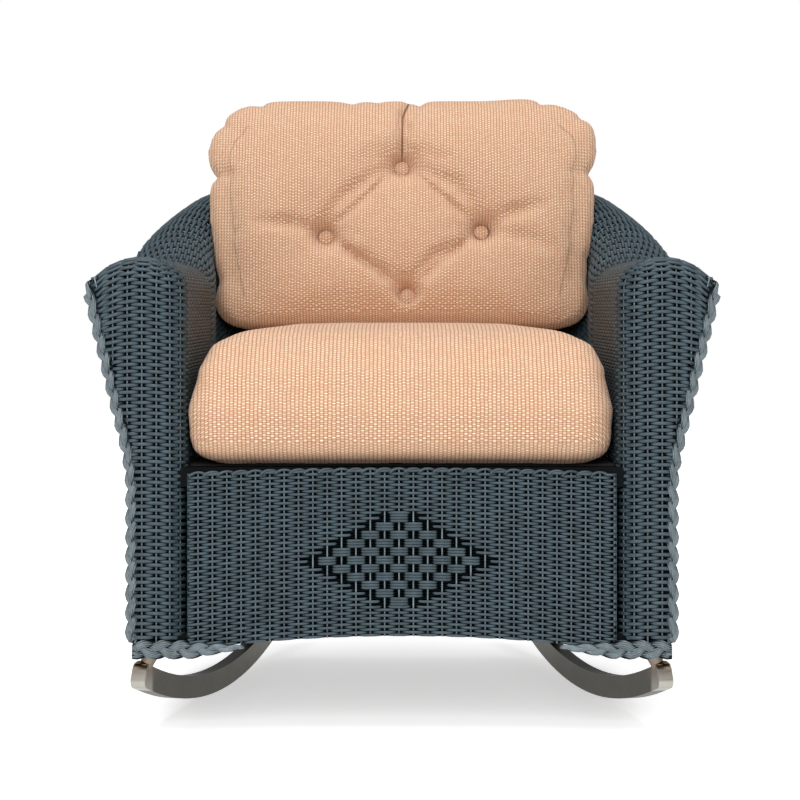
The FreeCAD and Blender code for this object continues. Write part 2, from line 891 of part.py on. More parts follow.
def button_disc(button, depth, direction):
    """A covered button: a flat back and a domed face."""
    dome = button_thick / 2
    radius = (button_radius ** 2 + dome ** 2) / (2 * dome)
    disc = Part.makeCylinder(button_radius, button_thick, V(0, 0, 0), V(0, 1, 0))
    disc = disc.common(Part.makeSphere(radius, V(0, button_thick - radius, 0)))
    if direction < 0:
        disc.rotate(V(0, 0, 0), V(0, 0, 1), 180)
    disc.translate(V(button[0], depth, button[1]))
    return disc


def place_back(shape, lift):
    """Leans a back cushion piece to the back's own tilt, with its foot lift up the wall from the deck."""
    section = wall_section(half_stations()[-1])
    tilt = section["tilt"]
    foot = wall_line(section, deck_z, 0.0)
    ahead = back_cushion_thick + 3 * lay
    y = seat_depth + foot[0] + lift * math.sin(tilt) - ahead * math.cos(tilt)
    z = deck_z + lift * math.cos(tilt) + ahead * math.sin(tilt)
    moved = shape.copy()
    moved.rotate(V(0, 0, 0), V(1, 0, 0), -math.degrees(tilt))
    moved.translate(at(0, y, z))
    return moved


def back_lift(cushion, seat):
    """How far up the wall the back cushion stands, so that it rests on the seat cushion."""
    lift = seat_cushion_thick
    for attempt in range(seat_steps):
        gap = place_back(cushion, lift).distToShape(seat)[0]
        lift -= gap - fit
    return lift


def main():
    os.makedirs("parts", exist_ok=True)
    weave = arm_weave()
    save("arm_weave_right", weave)
    save("arm_weave_left", mirrored(weave))
    side = arm_outer()
    save("outer_weave_right", side)
    save("outer_weave_left", mirrored(side))
    stops = all_stations()
    save("back_weave_inner", loft([woven_inner_wire(s) for s in stops]))
    save("back_weave_outer", loft([woven_outer_wire(s) for s in stops]))
    save("front_skirt", front_skirt())
    save("rim_braid", loft([braid_wire(s) for s in stops]))
    save("arm_braid_right", arm_braid())
    save("arm_braid_left", mirrored(arm_braid()))
    save("arm_rim_braid_right", arm_rim_braid())
    save("arm_rim_braid_left", mirrored(arm_rim_braid()))
    save("hem_braid_right", hem_braid())
    save("hem_braid_left", mirrored(hem_braid()))
    save("seat_bow", seat_bow())
    save("seat_front_rail", seat_front_rail())
    save("base_rail", base_rail())
    save("skirt_rod", skirt_rod(rod_radius))
    save("rim_rail_back", back_rim_rail(stops))
    save("rim_rail_right", arm_rail())
    save("rim_rail_left", mirrored(arm_rail()))
    save("front_post_right", front_post())
    save("front_post_left", mirrored(front_post()))
    for name, x in (("left", -stay_spread), ("middle", 0.0), ("right", stay_spread)):
        save("back_stay_" + name, back_stay(x))
    bar = runner()
    save("runner_right", bar)
    save("runner_left", mirrored(bar))
    leg_x, leg_back = rear_leg_place()
    front_stub = stub(post_x, post_y, stub_top_z, bar)
    rear_stub = stub(leg_x, leg_back, rear_stub_top(leg_back), bar)
    beads = Part.makeCompound([weld_bead(post_y, front_stub, bar), weld_bead(leg_back, rear_stub, bar)])
    for name, shape in (
        ("front_stub", front_stub),
        ("rear_stub", rear_stub),
        ("rear_leg", rear_leg()),
        ("rear_brace", rear_brace()),
        ("weld_beads", beads),
    ):
        save(name + "_right", shape)
        save(name + "_left", mirrored(shape))
    save("seat_straps", seat_straps())
    seat = seat_form(0.0)
    save("seat_cushion_cover", hollow(seat, seat_form(cover_thick)))
    save("seat_cushion_fill", seat_form(cover_thick + fit))
    lift = back_lift(back_form(0.0), seat)
    cover = hollow(tufted(back_form(0.0), 0.0), tufted(back_form(cover_thick), cover_thick))
    fill = tufted(back_form(cover_thick + fit), cover_thick + fit)
    front = [button_disc(b, tuft_depth - fit, -1) for b in buttons]
    rear = [button_disc(b, back_cushion_thick - rear_tuft_depth + fit, 1) for b in buttons]
    span = back_cushion_thick - rear_tuft_depth - tuft_depth + 2 * fit
    twine = [
        Part.makeCylinder(twine_radius, span, V(b[0], tuft_depth - fit, b[1]), V(0, 1, 0))
        for b in buttons
    ]
    save("back_cushion_cover", place_back(cover, lift))
    save("back_cushion_fill", place_back(fill, lift))
    save("tuft_buttons_front", place_back(Part.makeCompound(front), lift))
    save("tuft_buttons_rear", place_back(Part.makeCompound(rear), lift))
    save("tuft_twine", place_back(Part.makeCompound(twine), lift))


main()
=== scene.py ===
"""Dresses a woven outdoor rocking chair: strands, plaits, cushions, runners and the stage.

Metres, +Z up, the sitter faces -Y.
"""
import json
import math

import bmesh
import bpy
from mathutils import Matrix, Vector


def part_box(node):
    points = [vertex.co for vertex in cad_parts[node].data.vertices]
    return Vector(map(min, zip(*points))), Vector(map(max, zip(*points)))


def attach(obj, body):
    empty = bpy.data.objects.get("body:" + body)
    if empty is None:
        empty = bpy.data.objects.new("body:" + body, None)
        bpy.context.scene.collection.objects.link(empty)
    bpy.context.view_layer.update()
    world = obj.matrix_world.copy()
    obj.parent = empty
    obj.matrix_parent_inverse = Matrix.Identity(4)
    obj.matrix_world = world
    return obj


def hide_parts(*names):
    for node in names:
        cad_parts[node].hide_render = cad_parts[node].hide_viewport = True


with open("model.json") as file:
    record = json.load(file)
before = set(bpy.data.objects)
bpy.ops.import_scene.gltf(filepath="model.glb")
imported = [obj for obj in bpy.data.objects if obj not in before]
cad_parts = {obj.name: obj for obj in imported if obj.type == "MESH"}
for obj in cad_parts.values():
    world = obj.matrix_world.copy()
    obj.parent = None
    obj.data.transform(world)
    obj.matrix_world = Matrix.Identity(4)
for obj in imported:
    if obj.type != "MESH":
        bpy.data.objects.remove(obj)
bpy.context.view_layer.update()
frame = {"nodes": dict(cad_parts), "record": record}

bl_info = {
    "name": "Woven Rocking Chair",
    "version": (1, 0, 0),
    "blender": (4, 5, 0),
    "location": "3D View > Sidebar > Rocker",
    "description": "Strands, plaits, cushions and finishes of a woven outdoor rocking chair",
    "category": "Object",
}

NODES = frame["nodes"]

# Plan of the inner wall, measured back from the front of the arms
FRONT_Y = -0.400
SEAT_HALF = 0.290
SEAT_DEPTH = 0.592
BARREL = 0.130
ARM_LENGTH = 0.380
CORNER_X = SEAT_HALF - BARREL
CORNER_BACK = SEAT_DEPTH - BARREL

# Cut of the woven wall: d outwards from the inner wall, z up
DECK_Z = 0.358
ARM_TOP_Z = 0.595
BACK_RISE = 0.1635
BACK_LEAN = 0.080
ROLL = 0.040
CROWN_START = math.radians(28)
RIM_REACH_ARM = 0.125
RIM_REACH_BACK = 0.158
RIM_DROP = 0.015
ARM_RIM_RISE = 0.004
FRONT_ROUND = 0.038
LOW_REACH = 0.0655
FLARE_Z = 0.357
HEM_Z = 0.110
ARM_HEM_Z = 0.126
SKIN = 0.0032

# The climb of the rim, by distance along the plan from the rear end of the arm to the middle of the back
CLIMB_AT = (0.0, 0.041, 0.082, 0.116, 0.150, 0.184, 0.218, 0.252, 0.286, 0.366, 0.446)
CLIMB_SHARE = (0.0, 0.06, 0.17, 0.33, 0.53, 0.73, 0.87, 0.93, 0.965, 0.985, 1.0)

# Stakes are counted from the outer edge of the right arm's front, round the back, to the left arm's
FRONT_STAKES = 4
CORNER_STAKES = 3
ARM_STAKES = 18
SHOULDER_STAKES = 4
BARREL_STAKES = 15
BACK_STAKES = 8
ARM_FIRST = FRONT_STAKES + CORNER_STAKES
ARM_LAST = ARM_FIRST + ARM_STAKES
BARREL_FIRST = ARM_LAST + SHOULDER_STAKES
BARREL_LAST = BARREL_FIRST + BARREL_STAKES
MIDDLE = BARREL_LAST + BACK_STAKES
OUTER_FIRST = 5.5
FRONT_STAKE_PITCH = 0.0194
ARM_STAKE_PITCH = 0.019
STAKE_STEP = 0.012

# Where the front's rows and stakes end: under the plait, short of the rim, and back over the arm's top
UNDER_PLAIT = 0.002
SHORT_OF_RIM = -0.0005
OUTER_STAKE_ROOM = 0.008
FRONT_STAKE_TAIL = 0.08

# How far a strand runs level either side of a stake, in stake pitches
FLOAT_REACH = 0.38
DIP_REACH = 0.14

# Painted shade: the dark sheets behind the weave, standing in for the shadow inside it
SHADE_SHEET_DEPTH = 0.0036
SHADE_SHEET_THICK = 0.0004


# Settings
def length_of(label, description, default, **limits):
    return bpy.props.FloatProperty(
        name=label, description=description, default=default, unit="LENGTH", precision=5, **limits)


def strength_of(label, description, default):
    return bpy.props.FloatProperty(name=label, description=description, default=default)


def colour_of(label, description, default):
    return bpy.props.FloatVectorProperty(
        name=label, description=description, default=default, subtype="COLOR", min=0, max=1)


class WeaveSettings(bpy.types.PropertyGroup):
    row_pitch: length_of("Row pitch", "Distance between rows on the arms and back", 0.0046, min=0.002)
    strand_radius: length_of("Strand radius", "Radius of a strand on the arms and back", 0.00265)
    lift: length_of("Lift", "How far a strand rises over a stake", 0.0026)
    stake_radius: length_of("Stake radius", "Radius of the upright stakes", 0.0011)
    skirt_row_pitch: length_of("Skirt row pitch", "Distance between rows on the skirt", 0.00372)
    skirt_stake_pitch: length_of("Skirt stake pitch", "Distance between stakes on the skirt", 0.0192)
    skirt_strand_radius: length_of("Skirt strand radius", "Radius of a strand on the skirt", 0.00198)
    strand_colour: colour_of("Strand colour", "Base colour of the strands", (0.039, 0.063, 0.076))
    stake_colour: colour_of("Stake colour", "Base colour of the upright stakes", (0.15, 0.20, 0.22))
    plait_colour: colour_of("Plait colour", "Base colour of the plaited edging", (0.135, 0.170, 0.186))


class CushionSettings(bpy.types.PropertyGroup):
    peach: colour_of("Peach thread", "Main colour of the fabric", (0.65, 0.362, 0.222))
    cream: colour_of("Cream thread", "Colour of the pale flecks", (0.93, 0.80, 0.56))
    rust: colour_of("Rust thread", "Colour of the dark flecks", (0.33, 0.078, 0.046))
    groove: colour_of("Groove", "Colour between the upright stripes", (0.28, 0.125, 0.072))
    stripe_pitch: length_of("Stripe pitch", "Width of one upright stripe of the fabric", 0.0055)
    rib_pitch: length_of("Rib pitch", "Height of one crosswise thread of the fabric", 0.00275)


class StageSettings(bpy.types.PropertyGroup):
    camera_distance: length_of("Camera distance", "From the arm fronts to the camera", 2.8)
    camera_height: length_of("Camera height", "Height of the camera over the floor", 0.57)
    lens: strength_of("Lens", "Focal length of the camera, in millimetres", 94.5)
    sky_power: strength_of("Sky light", "Strength of the wide soft light from overhead", 1.9)
    front_power: strength_of("Front light", "Power of the large lamp ahead of the chair, in watts", 185.0)
    floor_glow: strength_of(
        "Floor glow", "What the floor adds to its lit colour for the camera, so that it stays white", 0.57)
    world_strength: strength_of("World light", "Strength of the pale surroundings", 0.34)


def settings(name):
    return getattr(bpy.context.scene, name)


# Shader maths
class Sock:
    """A shader value that Python's operators can use."""

    def __init__(self, shader, link):
        self.shader = shader
        self.link = link

    def maths(self, operation, *others):
        values = dict(enumerate((self, *others)))
        return self.shader.node("ShaderNodeMath", {"operation": operation}, values)

    def __add__(self, other):
        return self.maths("ADD", other)

    def __sub__(self, other):
        return self.maths("SUBTRACT", other)

    def __rsub__(self, other):
        return self.shader.node("ShaderNodeMath", {"operation": "SUBTRACT"}, {0: other, 1: self})

    def __mul__(self, other):
        return self.maths("MULTIPLY", other)

    def __truediv__(self, other):
        return self.maths("DIVIDE", other)

    __radd__ = __add__
    __rmul__ = __mul__


class Finish:
    """A material and the nodes that make it."""

    def __init__(self, name):
        self.material = bpy.data.materials.new(name)
        self.material.use_nodes = True
        self.tree = self.material.node_tree
        self.surface = self.tree.nodes["Principled BSDF"]

    def node(self, kind, settings=None, values=None, output=0):
        made = self.tree.nodes.new(kind)
        for key, value in (settings or {}).items():
            setattr(made, key, value)
        for key, value in (values or {}).items():
            self.feed(made.inputs[key], value)
        return Sock(self, made.outputs[output])

    def feed(self, socket, value):
        if isinstance(value, Sock):
            self.tree.links.new(value.link, socket)
        elif isinstance(value, tuple) and len(value) == 3 and socket.type == "RGBA":
            socket.default_value = (*value, 1.0)
        else:
            socket.default_value = value

    def set(self, **values):
        for key, value in values.items():
            self.feed(self.surface.inputs[key.replace("_", " ")], value)

    def split(self, vector):
        return [self.node("ShaderNodeSeparateXYZ", values={0: vector}, output=axis) for axis in range(3)]

    def place(self):
        """Object coordinates."""
        return self.node("ShaderNodeTexCoord", output=3)

    def layer(self, name):
        """A piece's own attribute."""
        return self.node("ShaderNodeAttribute", {"attribute_name": name}, output=2)

    def noise(self, spot, scale, detail=2.0):
        return self.node("ShaderNodeTexNoise", values={"Vector": spot, "Scale": scale, "Detail": detail})

    def chance(self, dimensions, **values):
        return self.node("ShaderNodeTexWhiteNoise", {"noise_dimensions": dimensions}, values)

    def ease(self, value, low, high, first, last, kind="SMOOTHSTEP"):
        """From first to last while a value goes from low to high."""
        ends = {0: value, 1: low, 2: high, 3: first, 4: last}
        return self.node("ShaderNodeMapRange", {"interpolation_type": kind}, ends)

    def mix(self, share, first, second):
        return self.node("ShaderNodeMix", {"data_type": "RGBA"}, {0: share, 6: first, 7: second}, output=2)

    def bump(self, height, distance, strength=1.0):
        return self.node("ShaderNodeBump", values={"Height": height, "Distance": distance, "Strength": strength})


# Painted shade: the near-black colour put on a strand where it dips out of sight, and on the dark sheets inside
# the weave
SHADE = (0.001, 0.0015, 0.002)


def toned(colour, share):
    return tuple(min(1.0, part * share) for part in colour)


def strand_finish(name, colour, roughness, shaded=True):
    """Waxed round strand: fine grain, mottled tone, and painted shade where it dips behind a stake."""
    finish = Finish(name)
    spot = finish.place()
    mottle = finish.noise(spot, 70.0, 3.0)
    grain = finish.noise(spot, 900.0)
    tone = finish.ease(mottle * 0.6 + grain * 0.4, 0.32, 0.68, 0.0, 1.0, "LINEAR")
    coat = finish.mix(tone, toned(colour, 0.62), toned(colour, 1.45))
    if shaded:
        # Painted shade: the height layer, 1 over a stake and 0 under it, blends the coat towards SHADE and makes
        # the dips metallic so they take no diffuse light
        dip_shade = finish.ease(finish.layer("height"), 0.12, 0.55, 0.96, 0.0)
        coat = finish.mix(dip_shade, coat, SHADE)
        finish.set(Metallic=dip_shade)
    finish.set(Base_Color=coat, Roughness=roughness + grain * 0.2, Specular_IOR_Level=0.4)
    finish.set(Normal=finish.bump(grain, 0.0004, 0.6))
    return finish.material


def plain_finish(name, colour, roughness, **values):
    """A lightly mottled coat of one colour."""
    finish = Finish(name)
    mottle = finish.noise(finish.place(), 40.0, 4.0)
    finish.set(Base_Color=finish.mix(mottle, toned(colour, 0.85), toned(colour, 1.15)))
    finish.set(Roughness=roughness + mottle * 0.1, Normal=finish.bump(mottle, 0.0003, 0.4), **values)
    return finish.material


def shadow_finish():
    """Painted shade: the dark sheets inside the weave, where a real chair has only shadow, seen through its gaps.
    """
    finish = Finish("weave_inside")
    mottle = finish.noise(finish.place(), 200.0)
    # Painted shade: near-black with a faint mottle, and metallic so that the sheets take no diffuse light
    finish.set(Base_Color=finish.mix(mottle, SHADE, (0.003, 0.004, 0.005)))
    finish.set(Roughness=0.95, Metallic=1.0)
    return finish.material


def painted_crease_shade(finish, cloth, height):
    """Adds painted shade along the lines of the folded pleat and of the seams, which the cushions carry as
    layers, and sinks those lines in the bump.
    """
    fold, share, welt = (finish.layer(name) for name in ("fold", "fold_share", "welt"))
    fold = finish.ease(fold.maths("ABSOLUTE"), 0.0006, 0.0026, 1.0, 0.0) * share
    welt = finish.ease(welt.maths("ABSOLUTE"), 0.0002, 0.0012, 0.32, 0.0)
    line = fold.maths("MAXIMUM", welt)
    # Painted shade: the fold and seam lines are blended towards dark brown
    return finish.mix(line * 0.9, cloth, (0.16, 0.07, 0.04)), height - line * 2.0


def fabric_finish(name, pitch, crease_shaded=True):
    """Woven outdoor cloth: upright stripes of stacked cream and peach blocks, rust threads between them.

    Stripes follow x, or y on the sides. Blocks follow height and depth, with the sign turned on the rear
    and the underside, so that they keep their size on a slope.
    """
    look = settings("rocker_cushions")
    peach, cream, rust, dark = (tuple(colour) for colour in (look.peach, look.cream, look.rust, look.groove))
    finish = Finish(name)
    spot = finish.place()
    x, y, z = finish.split(spot)
    facing = finish.split(finish.node("ShaderNodeNewGeometry", output=1))
    on_side = facing[0].maths("ABSOLUTE").maths("GREATER_THAN", 0.86)
    rearward = 1.0 - facing[1].maths("GREATER_THAN", 0.15) * 2.0
    downward = 1.0 - facing[2].maths("LESS_THAN", -0.35) * 2.0
    wander = finish.noise(spot, 55.0, 1.0) - 0.5
    across = (x * (1.0 - on_side) + y * on_side) / pitch + wander * 0.35
    stripe = across.maths("FLOOR")
    start = finish.chance("1D", W=stripe)
    along = (z + y * (1.0 - on_side) * rearward * downward) / look.rib_pitch
    along = along + start * 0.5 + (stripe * 0.5).maths("FRACT") * 2.0
    block = along.maths("FLOOR")
    chance = finish.chance("2D", Vector=finish.node("ShaderNodeCombineXYZ", values={0: stripe, 1: block}))
    in_stripe = (across.maths("FRACT") - 0.5).maths("ABSOLUTE") * 2.0
    in_block = (along.maths("FRACT") - 0.5).maths("ABSOLUTE") * 2.0
    groove = finish.ease(in_stripe, 0.6, 1.0, 0.0, 1.0)
    joint = finish.ease(in_block + in_stripe * 0.25, 0.55, 1.05, 0.0, 1.0)
    even = (block * 0.5).maths("FRACT") * 2.0
    pale = even * (chance * 0.6 + 0.35) + (1.0 - even) * chance * 0.25
    thread = finish.mix(pale, peach, cream)
    thread = finish.mix(joint * (chance * 0.45 + 0.55), thread, rust)
    thread = finish.mix(groove * 0.7, thread, dark)
    cloth = finish.mix(finish.noise(spot, 14.0) * 0.12, thread, peach)
    height = (1.0 - groove) * 0.7 + (1.0 - joint) * 0.3
    # Painted shade in the pleat's fold and along the seams
    if crease_shaded:
        cloth, height = painted_crease_shade(finish, cloth, height)
    finish.set(Base_Color=cloth, Normal=finish.bump(height, 0.0007, 0.8), Roughness=0.86)
    finish.set(Sheen_Weight=0.12, Sheen_Roughness=0.5, Specular_IOR_Level=0.2)
    return finish.material


def brushed_finish():
    """Brushed bar: champagne grey with fine lines along it, a painted highlight that lightens its nose, and heat
    tint near the front weld.
    """
    finish = Finish("brushed_bar")
    spot = finish.place()
    _, y, z = finish.split(spot)
    stretched = finish.node("ShaderNodeMapping", values={0: spot, 3: (900.0, 26.0, 900.0)})
    lines = finish.noise(stretched, 1.0, 3.0)
    metal = finish.mix(finish.noise(spot, 18.0), (0.046, 0.041, 0.026), (0.088, 0.079, 0.052))
    # Painted highlight: the bar's front 30 mm, fading out by 44 mm, is blended towards pale grey
    metal = finish.mix(finish.ease(y - FRONT_Y, 0.030, 0.044, 0.9, 0.0), metal, (0.50, 0.49, 0.44))
    near_weld = finish.ease((y - (FRONT_Y + 0.03)).maths("ABSOLUTE"), 0.008, 0.034, 0.75, 0.0)
    near_weld = near_weld * finish.ease(z, 0.058, 0.088, 0.0, 1.0)
    metal = finish.mix(near_weld, metal, (0.16, 0.10, 0.055))
    finish.set(Base_Color=finish.mix(lines * 0.25, metal, (0.10, 0.095, 0.08)), Metallic=1.0)
    finish.set(Roughness=0.3 + lines * 0.22, Normal=finish.bump(lines, 0.0002, 0.35))
    return finish.material


# Pieces
def link(name, data):
    piece = bpy.data.objects.new(name, data)
    bpy.context.scene.collection.objects.link(piece)
    return piece


def tube_mesh(name, paths, radius):
    """Round strands along the given paths, as one mesh."""
    corners = 6
    curve = bpy.data.curves.new(name, "CURVE")
    curve.dimensions = "3D"
    curve.bevel_depth = radius
    curve.bevel_resolution = 1
    curve.use_fill_caps = True
    for path in paths:
        spline = curve.splines.new("POLY")
        spline.points.add(len(path) - 1)
        spline.points.foreach_set("co", [value for point in path for value in (*point[:3], 1.0)])
        spline.use_smooth = True
    holder = link(name, curve)
    mesh = bpy.data.meshes.new_from_object(holder)
    # Each point's fourth value, or 1 where it has none, goes into the height layer that the strand finish turns
    # into painted shade; cap points get 0, fully shaded
    heights = [point[3] if len(point) == 4 else 1.0 for path in paths for point in path]
    caps = len(mesh.vertices) - corners * len(heights)
    values = [0.0] * caps + [height for height in heights for corner in range(corners)]
    mesh.attributes.new("height", "FLOAT", "POINT").data.foreach_set("value", values)
    bpy.data.objects.remove(holder)
    bpy.data.curves.remove(curve)
    return mesh


def sheet_mesh(columns):
    """A thin sheet drawn from one column of points to the next."""
    form = bmesh.new()
    chain = [form.verts.new(point) for point in columns[0]]
    edges = [form.edges.new(pair) for pair in zip(chain, chain[1:])]
    for column in columns[1:]:
        grown = bmesh.ops.extrude_edge_only(form, edges=edges)["geom"]
        edges = [item for item in grown if isinstance(item, bmesh.types.BMEdge) and not item.link_faces[1:]]
        fresh = [item for item in grown if isinstance(item, bmesh.types.BMVert)]
        for vert, point in zip(fresh, column):
            vert.co = point
        edges = [edge for edge in edges if all(vert in fresh for vert in edge.verts)]
    bmesh.ops.recalc_face_normals(form, faces=form.faces)
    bmesh.ops.solidify(form, geom=list(form.faces), thickness=SHADE_SHEET_THICK)
    return mesh_of("lining", form)


def mesh_of(name, form):
    mesh = bpy.data.meshes.new(name)
    form.to_mesh(mesh)
    form.free()
    return mesh


def piece_of(name, meshes, materials, nodes):
    """One piece from several meshes, each with its own material, standing for CAD nodes."""
    joined = bmesh.new()
    for index, mesh in enumerate(meshes):
        start = len(joined.faces)
        joined.from_mesh(mesh)
        joined.faces.ensure_lookup_table()
        for face in joined.faces[start:]:
            face.material_index = index
            face.smooth = True
        bpy.data.meshes.remove(mesh)
    bmesh.ops.remove_doubles(joined, verts=joined.verts, dist=0.0000002)
    data = mesh_of(name, joined)
    for material in materials:
        data.materials.append(material)
    piece = link(name, data)
    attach(piece, "chair_frame")
    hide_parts(*nodes)


def dress(node, finish):
    """Gives a CAD node its finish."""
    materials = NODES[node].data.materials
    materials.clear()
    materials.append(finish)


def flipped(paths):
    """The same paths on the left side."""
    return [[Vector((-point[0], *point[1:])) for point in path] for path in paths]


def drawable(paths):
    return [path for path in paths if len(path) > 1]


def inset(spots, depth=SHADE_SHEET_DEPTH):
    """Points behind a surface, from pairs of a point on it and the way it faces."""
    return [spot - facing * depth for spot, facing in spots]


def spot_at(x, back, z):
    return Vector((x, FRONT_Y + back, z))


def rows_between(place, limit, pitch, row=0):
    """Row numbers and distances, one pitch apart."""
    while place < limit:
        yield row, place
        row += 1
        place += pitch


# The woven wall
def climb_at(distance):
    for near, far, low, high in zip(CLIMB_AT, CLIMB_AT[1:], CLIMB_SHARE, CLIMB_SHARE[1:]):
        if distance <= far:
            share = max(0.0, (distance - near) / (far - near))
            return low + (high - low) * share
    return CLIMB_SHARE[-1]


class Cut:
    """The cut of the wall at one place: the crown, the roll and the inner wall, by distance from the rim."""

    def __init__(self, lean_share, climb):
        self.top_z = ARM_TOP_Z + BACK_RISE * climb
        self.lean = BACK_LEAN * lean_share
        self.tilt = math.atan2(self.lean, self.top_z - DECK_Z)
        self.roll_centre = (self.lean + ROLL * math.cos(self.tilt), self.top_z - ROLL * math.sin(self.tilt))
        end = (
            self.roll_centre[0] - ROLL * math.sin(CROWN_START),
            self.roll_centre[1] + ROLL * math.cos(CROWN_START),
        )
        self.rim = (
            RIM_REACH_ARM + (RIM_REACH_BACK - RIM_REACH_ARM) * lean_share,
            self.top_z + RIM_DROP + ARM_RIM_RISE * (1 - lean_share),
        )
        run = self.rim[0] - end[0]
        fall = end[1] - self.rim[1]
        turn = CROWN_START + math.atan2(fall, run)
        radius = math.hypot(run, fall) / (2 * math.sin(turn))
        self.crown_centre = (end[0] + radius * math.sin(CROWN_START), end[1] - radius * math.cos(CROWN_START))
        self.crown_radius = radius - SKIN
        self.roll_radius = ROLL - SKIN
        self.first = math.pi / 2 + CROWN_START
        self.rim_angle = self.first - 2 * turn
        self.crown_length = self.crown_radius * 2 * turn
        self.roll_length = self.roll_radius * (math.pi - self.tilt - self.first)
        self.over = self.crown_length + self.roll_length
        self.wall_length = (self.top_z - DECK_Z) / math.cos(self.tilt)

    def inner(self, s):
        """Reach, height and outward direction at distance s from the rim."""
        if s < self.crown_length:
            angle = self.rim_angle + s / self.crown_radius
            centre, radius = self.crown_centre, self.crown_radius
        elif s < self.over:
            angle = self.first + (s - self.crown_length) / self.roll_radius
            centre, radius = self.roll_centre, self.roll_radius
        else:
            nd, nz = -math.cos(self.tilt), math.sin(self.tilt)
            down = s - self.over
            d = self.roll_centre[0] + self.roll_radius * nd - down * math.sin(self.tilt)
            return d, self.roll_centre[1] + self.roll_radius * nz - down * math.cos(self.tilt), nd, nz
        nd, nz = math.cos(angle), math.sin(angle)
        return centre[0] + radius * nd, centre[1] + radius * nz, nd, nz

    def slant(self):
        run = self.rim[0] - LOW_REACH
        rise = self.rim[1] - FLARE_Z
        return run, rise, math.hypot(run, rise)

    def outer(self, s):
        """The same on the outer side: s down the slant from the rim."""
        run, rise, length = self.slant()
        nd, nz = rise / length, -run / length
        share = s / length
        return self.rim[0] - run * share - nd * SKIN, self.rim[1] - rise * share - nz * SKIN, nd, nz


class Stop:
    """A place along the plan, by stake count: where the inner wall stands and which way is outwards."""

    def __init__(self, count):
        side = 1.0
        if count > MIDDLE:
            count = 2 * MIDDLE - count
            side = -1.0
        angle = 0.0
        if count <= ARM_LAST:
            back = FRONT_ROUND + (ARM_LENGTH - FRONT_ROUND) * (count - ARM_FIRST) / ARM_STAKES
            x, along = SEAT_HALF, 0.0
        elif count <= BARREL_FIRST:
            back = ARM_LENGTH + (CORNER_BACK - ARM_LENGTH) * (count - ARM_LAST) / SHOULDER_STAKES
            x, along = SEAT_HALF, back - ARM_LENGTH
        elif count <= BARREL_LAST:
            angle = math.pi / 2 * (count - BARREL_FIRST) / BARREL_STAKES
            x = CORNER_X + BARREL * math.cos(angle)
            back = CORNER_BACK + BARREL * math.sin(angle)
            along = CORNER_BACK - ARM_LENGTH + BARREL * angle
        else:
            angle = math.pi / 2
            x = CORNER_X * (1 - (count - BARREL_LAST) / BACK_STAKES)
            back = SEAT_DEPTH
            along = CLIMB_AT[-1] - x
        self.base = (side * x, back)
        self.out = (side * math.cos(angle), math.sin(angle))
        self.cut = Cut(angle / (math.pi / 2), climb_at(along))

    def place(self, d, z, nd, nz):
        x, back = self.base
        ox, oy = self.out
        return spot_at(x + ox * d, back + oy * d, z), Vector((ox * nd, oy * nd, nz))


ARM_CUT = Cut(0.0, 0.0)
FILLET = FRONT_ROUND - SKIN
OVER_FILLET = FILLET * math.pi / 2
SETTLE = 0.09


def dome(x):
    """Height of the arm's top, across the arm."""
    d = x - SEAT_HALF
    centre, radius = ARM_CUT.roll_centre, ARM_CUT.roll_radius
    if d > centre[0] - ROLL * math.sin(CROWN_START):
        centre, radius = ARM_CUT.crown_centre, ARM_CUT.crown_radius
    return centre[1] + math.sqrt(max(0.0, radius ** 2 - (d - centre[0]) ** 2))


CORNER_TOP = dome(SEAT_HALF + FRONT_ROUND)


def front_x(count):
    return SEAT_HALF + FRONT_ROUND + FRONT_STAKE_PITCH * (FRONT_STAKES - count)


def front_back(h):
    """How far back a front row lies, by its rise h over the start of the front's rounding."""
    if h <= 0:
        return SKIN
    if h <= OVER_FILLET:
        return FRONT_ROUND - FILLET * math.cos(h / FILLET)
    return FRONT_ROUND + h - OVER_FILLET


def front_spot(x, h):
    """A point of the arm's front at x, with the direction it faces."""
    top = dome(x)
    if h <= 0:
        z = CORNER_TOP - FILLET + h + (top - CORNER_TOP) * math.exp(h / SETTLE)
        return spot_at(x, SKIN, z), Vector((0, -1, 0))
    if h <= OVER_FILLET:
        turn = h / FILLET
        facing = Vector((0, -math.cos(turn), math.sin(turn)))
        return spot_at(x, front_back(h), top - FILLET + FILLET * math.sin(turn)), facing
    return spot_at(x, front_back(h), top), Vector((0, 0, 1))


def corner_spot(count, h):
    """A point of the rounded edge between the arm's front and its inner side."""
    turn = math.pi / 2 * (count - FRONT_STAKES) / CORNER_STAKES
    rise = max(0.0, h) / FILLET
    radius = FILLET * math.cos(rise)
    x = SEAT_HALF + FRONT_ROUND - radius * math.sin(turn)
    back = FRONT_ROUND - radius * math.cos(turn)
    spring = CORNER_TOP - FILLET + (ARM_TOP_Z - CORNER_TOP + FILLET) * turn / (math.pi / 2)
    z = spring + min(0.0, h) + FILLET * math.sin(rise)
    facing = Vector((-math.sin(turn) * math.cos(rise), -math.cos(turn) * math.cos(rise), math.sin(rise)))
    return spot_at(x, back, z), facing


def outer_edge_x(z):
    """The arm front's outer edge at height z."""
    if z < FLARE_Z:
        return SEAT_HALF + LOW_REACH
    rim_x, rim_z = SEAT_HALF + ARM_CUT.rim[0], ARM_CUT.rim[1]
    return SEAT_HALF + LOW_REACH + (rim_x - SEAT_HALF - LOW_REACH) * min(1.0, (z - FLARE_Z) / (rim_z - FLARE_Z))


def reach_of(side):
    """How far a strand runs level either side of a stake that it passes over or under."""
    return FLOAT_REACH if side > 0 else DIP_REACH


def stations(first, last, row):
    """Places either side of each stake where a row's run over or under it begins and ends."""
    places = []
    for stake in range(math.floor(first), math.ceil(last) + 1):
        side = side_of(stake, row)
        for count in (stake - reach_of(side), stake + reach_of(side)):
            if first <= count <= last:
                places.append((side, count))
    return places


